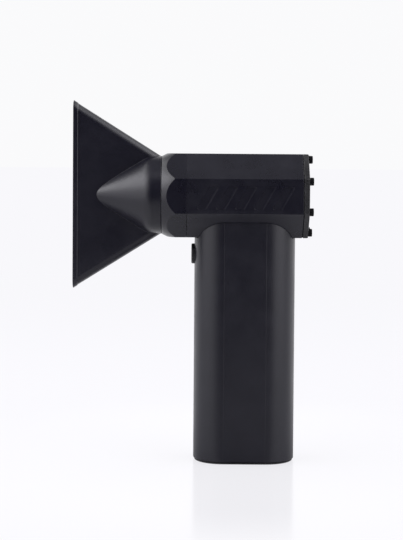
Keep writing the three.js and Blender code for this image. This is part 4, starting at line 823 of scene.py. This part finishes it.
# (z, radius)
FOOT_HOLE = ((-1, 2.55), (2.0, 2.55), (2.0, 1.45), (5.0, 1.45))
FOOT_SOCKET = ((1.1, 0.1), (1.0, 1.15), (0.4, 1.15), (0.35, 1.3))
FOOT_SCREW = ((0.35, 2.0), (0.5, 2.24), (0.7, 2.3), (1.85, 2.3), (1.85, 1.2), (14.0, 1.2),
              (14.0, 0.1))
foot = solid("foot_cap", loft([plain_ring(z, inset) for z, inset in FOOT]))
for side in (-1, 1):
    cut(foot, loft([level_circle(r, side * FOOT_SCREW_Y, z) for z, r in FOOT_HOLE]))
dress(foot, "housing", "rim_black", "base_cap", bevel=0.15, smooth=30)
for i, side in enumerate((-1, 1)):
    rings = [[(x, side * FOOT_SCREW_Y + y, z) for x, y in hexagon(r)] for z, r in FOOT_SOCKET]
    rings += [level_circle(r, side * FOOT_SCREW_Y, z) for z, r in FOOT_SCREW]
    dress(solid(f"foot_screw_{i + 1}", loft(rings)), "housing", "black_steel",
          f"base_screw_{i + 1}", smooth=40)

BUTTON_FACE = -28.9
# (x from the button's face, radius) of the dished face and its rounded edge
BUTTON_DISH = ((0.34, 0.001), (0.3, 1.6), (0.15, 3.2), (0.02, 4.4), (0.0, 4.75), (0.05, 5.05),
               (0.2, 5.3), (0.5, 5.42), (0.8, 5.45))
# (x, radius) of the shank, the flange inside the handle and the boss that meets the switch
BUTTON_BACK = ((-23.9, 5.45), (-23.9, 6.4), (-22.9, 6.4), (-22.9, 2.0), (-20.9, 2.0),
               (-20.9, 0.001))
button = [(BUTTON_FACE + dx, r) for dx, r in BUTTON_DISH] + list(BUTTON_BACK)
dress(solid("thumb_button", moved(turned(button, 56), dz=BUTTON_HEIGHT - AXIS_HEIGHT)), "button",
      "rim_black", "push_button", smooth=40)


# ---------------------------------------------------------------- floor

FLOOR_RADIUS = 12.0
FLOOR_WHITE = (0.941, 0.937, 0.967)
PAPER = (0.8, 0.8, 0.8, 1)
SHEEN_ROUGHNESS = 0.14
# ramps as (start, end, low, high); the first three are the painted light of the floor's glow, how
# bright the floor mirrors in the part: ahead of it along Y, beyond it along Y, and to its sides by
# the share of X in the distance
PAINTED_LIGHT_AHEAD = (-0.75, -0.12, 0.02, 0.48)
PAINTED_LIGHT_BEYOND = (-0.01, 0.14, 0.0, 1.1)
PAINTED_LIGHT_BESIDE = (0.3, 0.6, 0.0, 0.85)
# these run by the distance from the foot: the painted shadow that darkens the floor's mirrored glow
# ahead and beside near it, how much of the floor's own glow shows, and the soft mirror image round
# the foot
PAINTED_SHADOW_AHEAD = (0.03, 0.16, 0.5, 1.0)
PAINTED_SHADOW_BESIDE = (0.03, 0.14, 0.66, 1.0)
GLOW_SHARE = (0.2, 1.2, 0.86, 1.0)
SHEEN_FADE = (0.115, 0.215, 0.115, 0.0)


def floor_material():
    """Pale paper that glows where it is seen, with painted light and shade in the glow that the
    part mirrors, and a soft mirror image round the foot.
    """
    material = bpy.data.materials.new("studio_floor")
    material.use_nodes = True
    tree = material.node_tree
    tree.nodes.remove(tree.nodes["Principled BSDF"])
    link = tree.links.new
    place = tree.nodes.new("ShaderNodeTexCoord").outputs["Object"]
    axes = tree.nodes.new("ShaderNodeSeparateXYZ")
    link(place, axes.inputs[0])
    length = tree.nodes.new("ShaderNodeVectorMath")
    length.operation = "LENGTH"
    link(place, length.inputs[0])
    distance = length.outputs["Value"]
    path = tree.nodes.new("ShaderNodeLightPath")

    # painted light: the floor's glow as the part mirrors it is dim ahead and bright beyond and to
    # the sides
    ahead = calc(tree, "MULTIPLY", ranged(tree, axes.outputs["Y"], *PAINTED_LIGHT_AHEAD),
                 ranged(tree, distance, *PAINTED_SHADOW_AHEAD))
    beyond = ranged(tree, axes.outputs["Y"], *PAINTED_LIGHT_BEYOND)
    aside = calc(tree, "DIVIDE", calc(tree, "ABSOLUTE", axes.outputs["X"]), distance)
    beside = calc(tree, "MULTIPLY", ranged(tree, aside, *PAINTED_LIGHT_BESIDE),
                  ranged(tree, distance, *PAINTED_SHADOW_BESIDE))
    # painted light and painted shadow of the floor, seen only in the part's reflections
    around = calc(tree, "MAXIMUM", calc(tree, "MAXIMUM", ahead, beyond), beside)
    painted_mirror_level = calc(tree, "MULTIPLY", around, path.outputs["Is Glossy Ray"])
    other_level = calc(tree, "SUBTRACT", 1.0, path.outputs["Is Glossy Ray"])
    glow = node(tree, "ShaderNodeEmission", Color=(*FLOOR_WHITE, 1))
    link(calc(tree, "ADD", painted_mirror_level, other_level), glow.inputs["Strength"])

    paper = node(tree, "ShaderNodeBsdfDiffuse", Color=PAPER)
    share = ranged(tree, distance, *GLOW_SHARE)
    weight = calc(tree, "MULTIPLY", seen_directly(tree), share)
    lit = mixed(tree, weight, paper.outputs[0], glow.outputs[0])
    sheen = node(tree, "ShaderNodeBsdfGlossy", Color=(1, 1, 1, 1), Roughness=SHEEN_ROUGHNESS)
    fade = ranged(tree, distance, *SHEEN_FADE)
    gloss = calc(tree, "MULTIPLY", fade, path.outputs["Is Camera Ray"])
    link(mixed(tree, gloss, lit, sheen.outputs[0]), tree.nodes["Material Output"].inputs["Surface"])
    return material


floor_mesh = bpy.data.meshes.new("studio_floor")
work = bmesh.new()
bmesh.ops.create_circle(work, cap_ends=True, segments=96, radius=FLOOR_RADIUS)
work.to_mesh(floor_mesh)
work.free()
floor = bpy.data.objects.new("studio_floor", floor_mesh)
floor.data.materials.append(floor_material())
scene.collection.objects.link(floor)


# ---------------------------------------------------------------- world, lamps and camera

BACKGROUND = (0.957, 0.957, 0.968)
LAMP_WHITE = (1.0, 0.985, 1.06)
# the light of the studio's walls, as ramps (start, end, low, high) by the direction it comes
# from: to the sides, its change with height, beyond the part, its change with height, above
WALLS, WALLS_UP = (0.30, 0.56, 0.0, 1.2), (0.0, 0.6, 0.35, 1.9)
BACK_WALL, BACK_WALL_UP = (0.05, 0.6, 0.0, 1.2), (0.35, 0.8, 1.0, 0.12)
CEILING = (0.75, 1.0, 0.0, 0.35)
LEAST_LIGHT = 0.03


def studio_world():
    """Pale walls to the sides, behind and above; the camera sees a plain background."""
    world = bpy.data.worlds.new("studio")
    world.use_nodes = True
    tree = world.node_tree
    link = tree.links.new
    direction = tree.nodes.new("ShaderNodeSeparateXYZ")
    link(tree.nodes.new("ShaderNodeTexCoord").outputs["Generated"], direction.inputs[0])
    sideways = calc(tree, "ABSOLUTE", direction.outputs["X"])
    up = direction.outputs["Z"]
    sides = calc(tree, "MULTIPLY", ranged(tree, sideways, *WALLS), ranged(tree, up, *WALLS_UP))
    behind = calc(tree, "MULTIPLY", ranged(tree, direction.outputs["Y"], *BACK_WALL),
                  ranged(tree, up, *BACK_WALL_UP))
    above = ranged(tree, up, *CEILING)
    studio = calc(tree, "MAXIMUM", calc(tree, "MAXIMUM", sides, behind),
                  calc(tree, "MAXIMUM", above, LEAST_LIGHT))
    path = tree.nodes.new("ShaderNodeLightPath")
    mirrored = calc(tree, "MAXIMUM", path.outputs["Is Glossy Ray"],
                    path.outputs["Is Transmission Ray"])
    seen = calc(tree, "MAXIMUM", calc(tree, "MULTIPLY", mirrored, studio),
                path.outputs["Is Camera Ray"])
    white = node(tree, "ShaderNodeBackground", Color=(*BACKGROUND, 1))
    link(seen, white.inputs["Strength"])
    soft_box = node(tree, "ShaderNodeBackground", Color=(*LAMP_WHITE, 1))
    link(studio, soft_box.inputs["Strength"])
    whole = mixed(tree, seen_directly(tree), soft_box.outputs[0], white.outputs[0])
    link(whole, tree.nodes["World Output"].inputs["Surface"])
    return world


scene.world = studio_world()

LAMP_CENTRE = Vector((-0.03, 0, 0.12))


def lamp(name, round_by, up_by, away, width, height, radiance):
    """A soft lamp of a given brightness that faces the part, turned from the camera's side."""
    light = bpy.data.lights.new(name, "AREA")
    light.shape = "RECTANGLE"
    light.size = width
    light.size_y = height
    light.color = LAMP_WHITE
    light.energy = radiance * math.pi * width * height
    turn, lift = math.radians(round_by), math.radians(up_by)
    toward = Vector((math.sin(turn) * math.cos(lift), -math.cos(turn) * math.cos(lift),
                     math.sin(lift)))
    made = bpy.data.objects.new(name, light)
    made.location = LAMP_CENTRE + away * toward
    made.rotation_euler = toward.to_track_quat("Z", "Y").to_euler()
    made.visible_camera = False
    scene.collection.objects.link(made)


# turned round by, raised by, distance, width, height, brightness
lamp("key", -82, 34, 1.1, 1.1, 0.5, 2.6)
lamp("left_panel", -64, 8, 1.1, 1.0, 0.5, 1.02)
lamp("right_panel", 57, 8, 1.1, 0.85, 0.5, 1.43)
lamp("rim", 78, 53, 1.1, 0.85, 0.42, 1.9)
lamp("overhead", -14, 60, 1.2, 1.1, 0.45, 0.55)

CAMERA_PLACE = (-0.0236, -0.820, 0.1687)
CAMERA_DOWN, CAMERA_ROLL = 2, 0.414
camera_data = bpy.data.cameras.new("camera")
camera_data.lens = 100.89
camera_data.sensor_width = 36
camera_data.shift_y = -0.1274
camera_data.clip_end = 100
camera = bpy.data.objects.new("camera", camera_data)
camera.location = CAMERA_PLACE
camera.rotation_euler = (Matrix.Rotation(math.radians(90 - CAMERA_DOWN), 3, "X")
                         @ Matrix.Rotation(math.radians(CAMERA_ROLL), 3, "Z")).to_euler()
scene.collection.objects.link(camera)
scene.camera = camera
scene.view_settings.view_transform = "Standard"
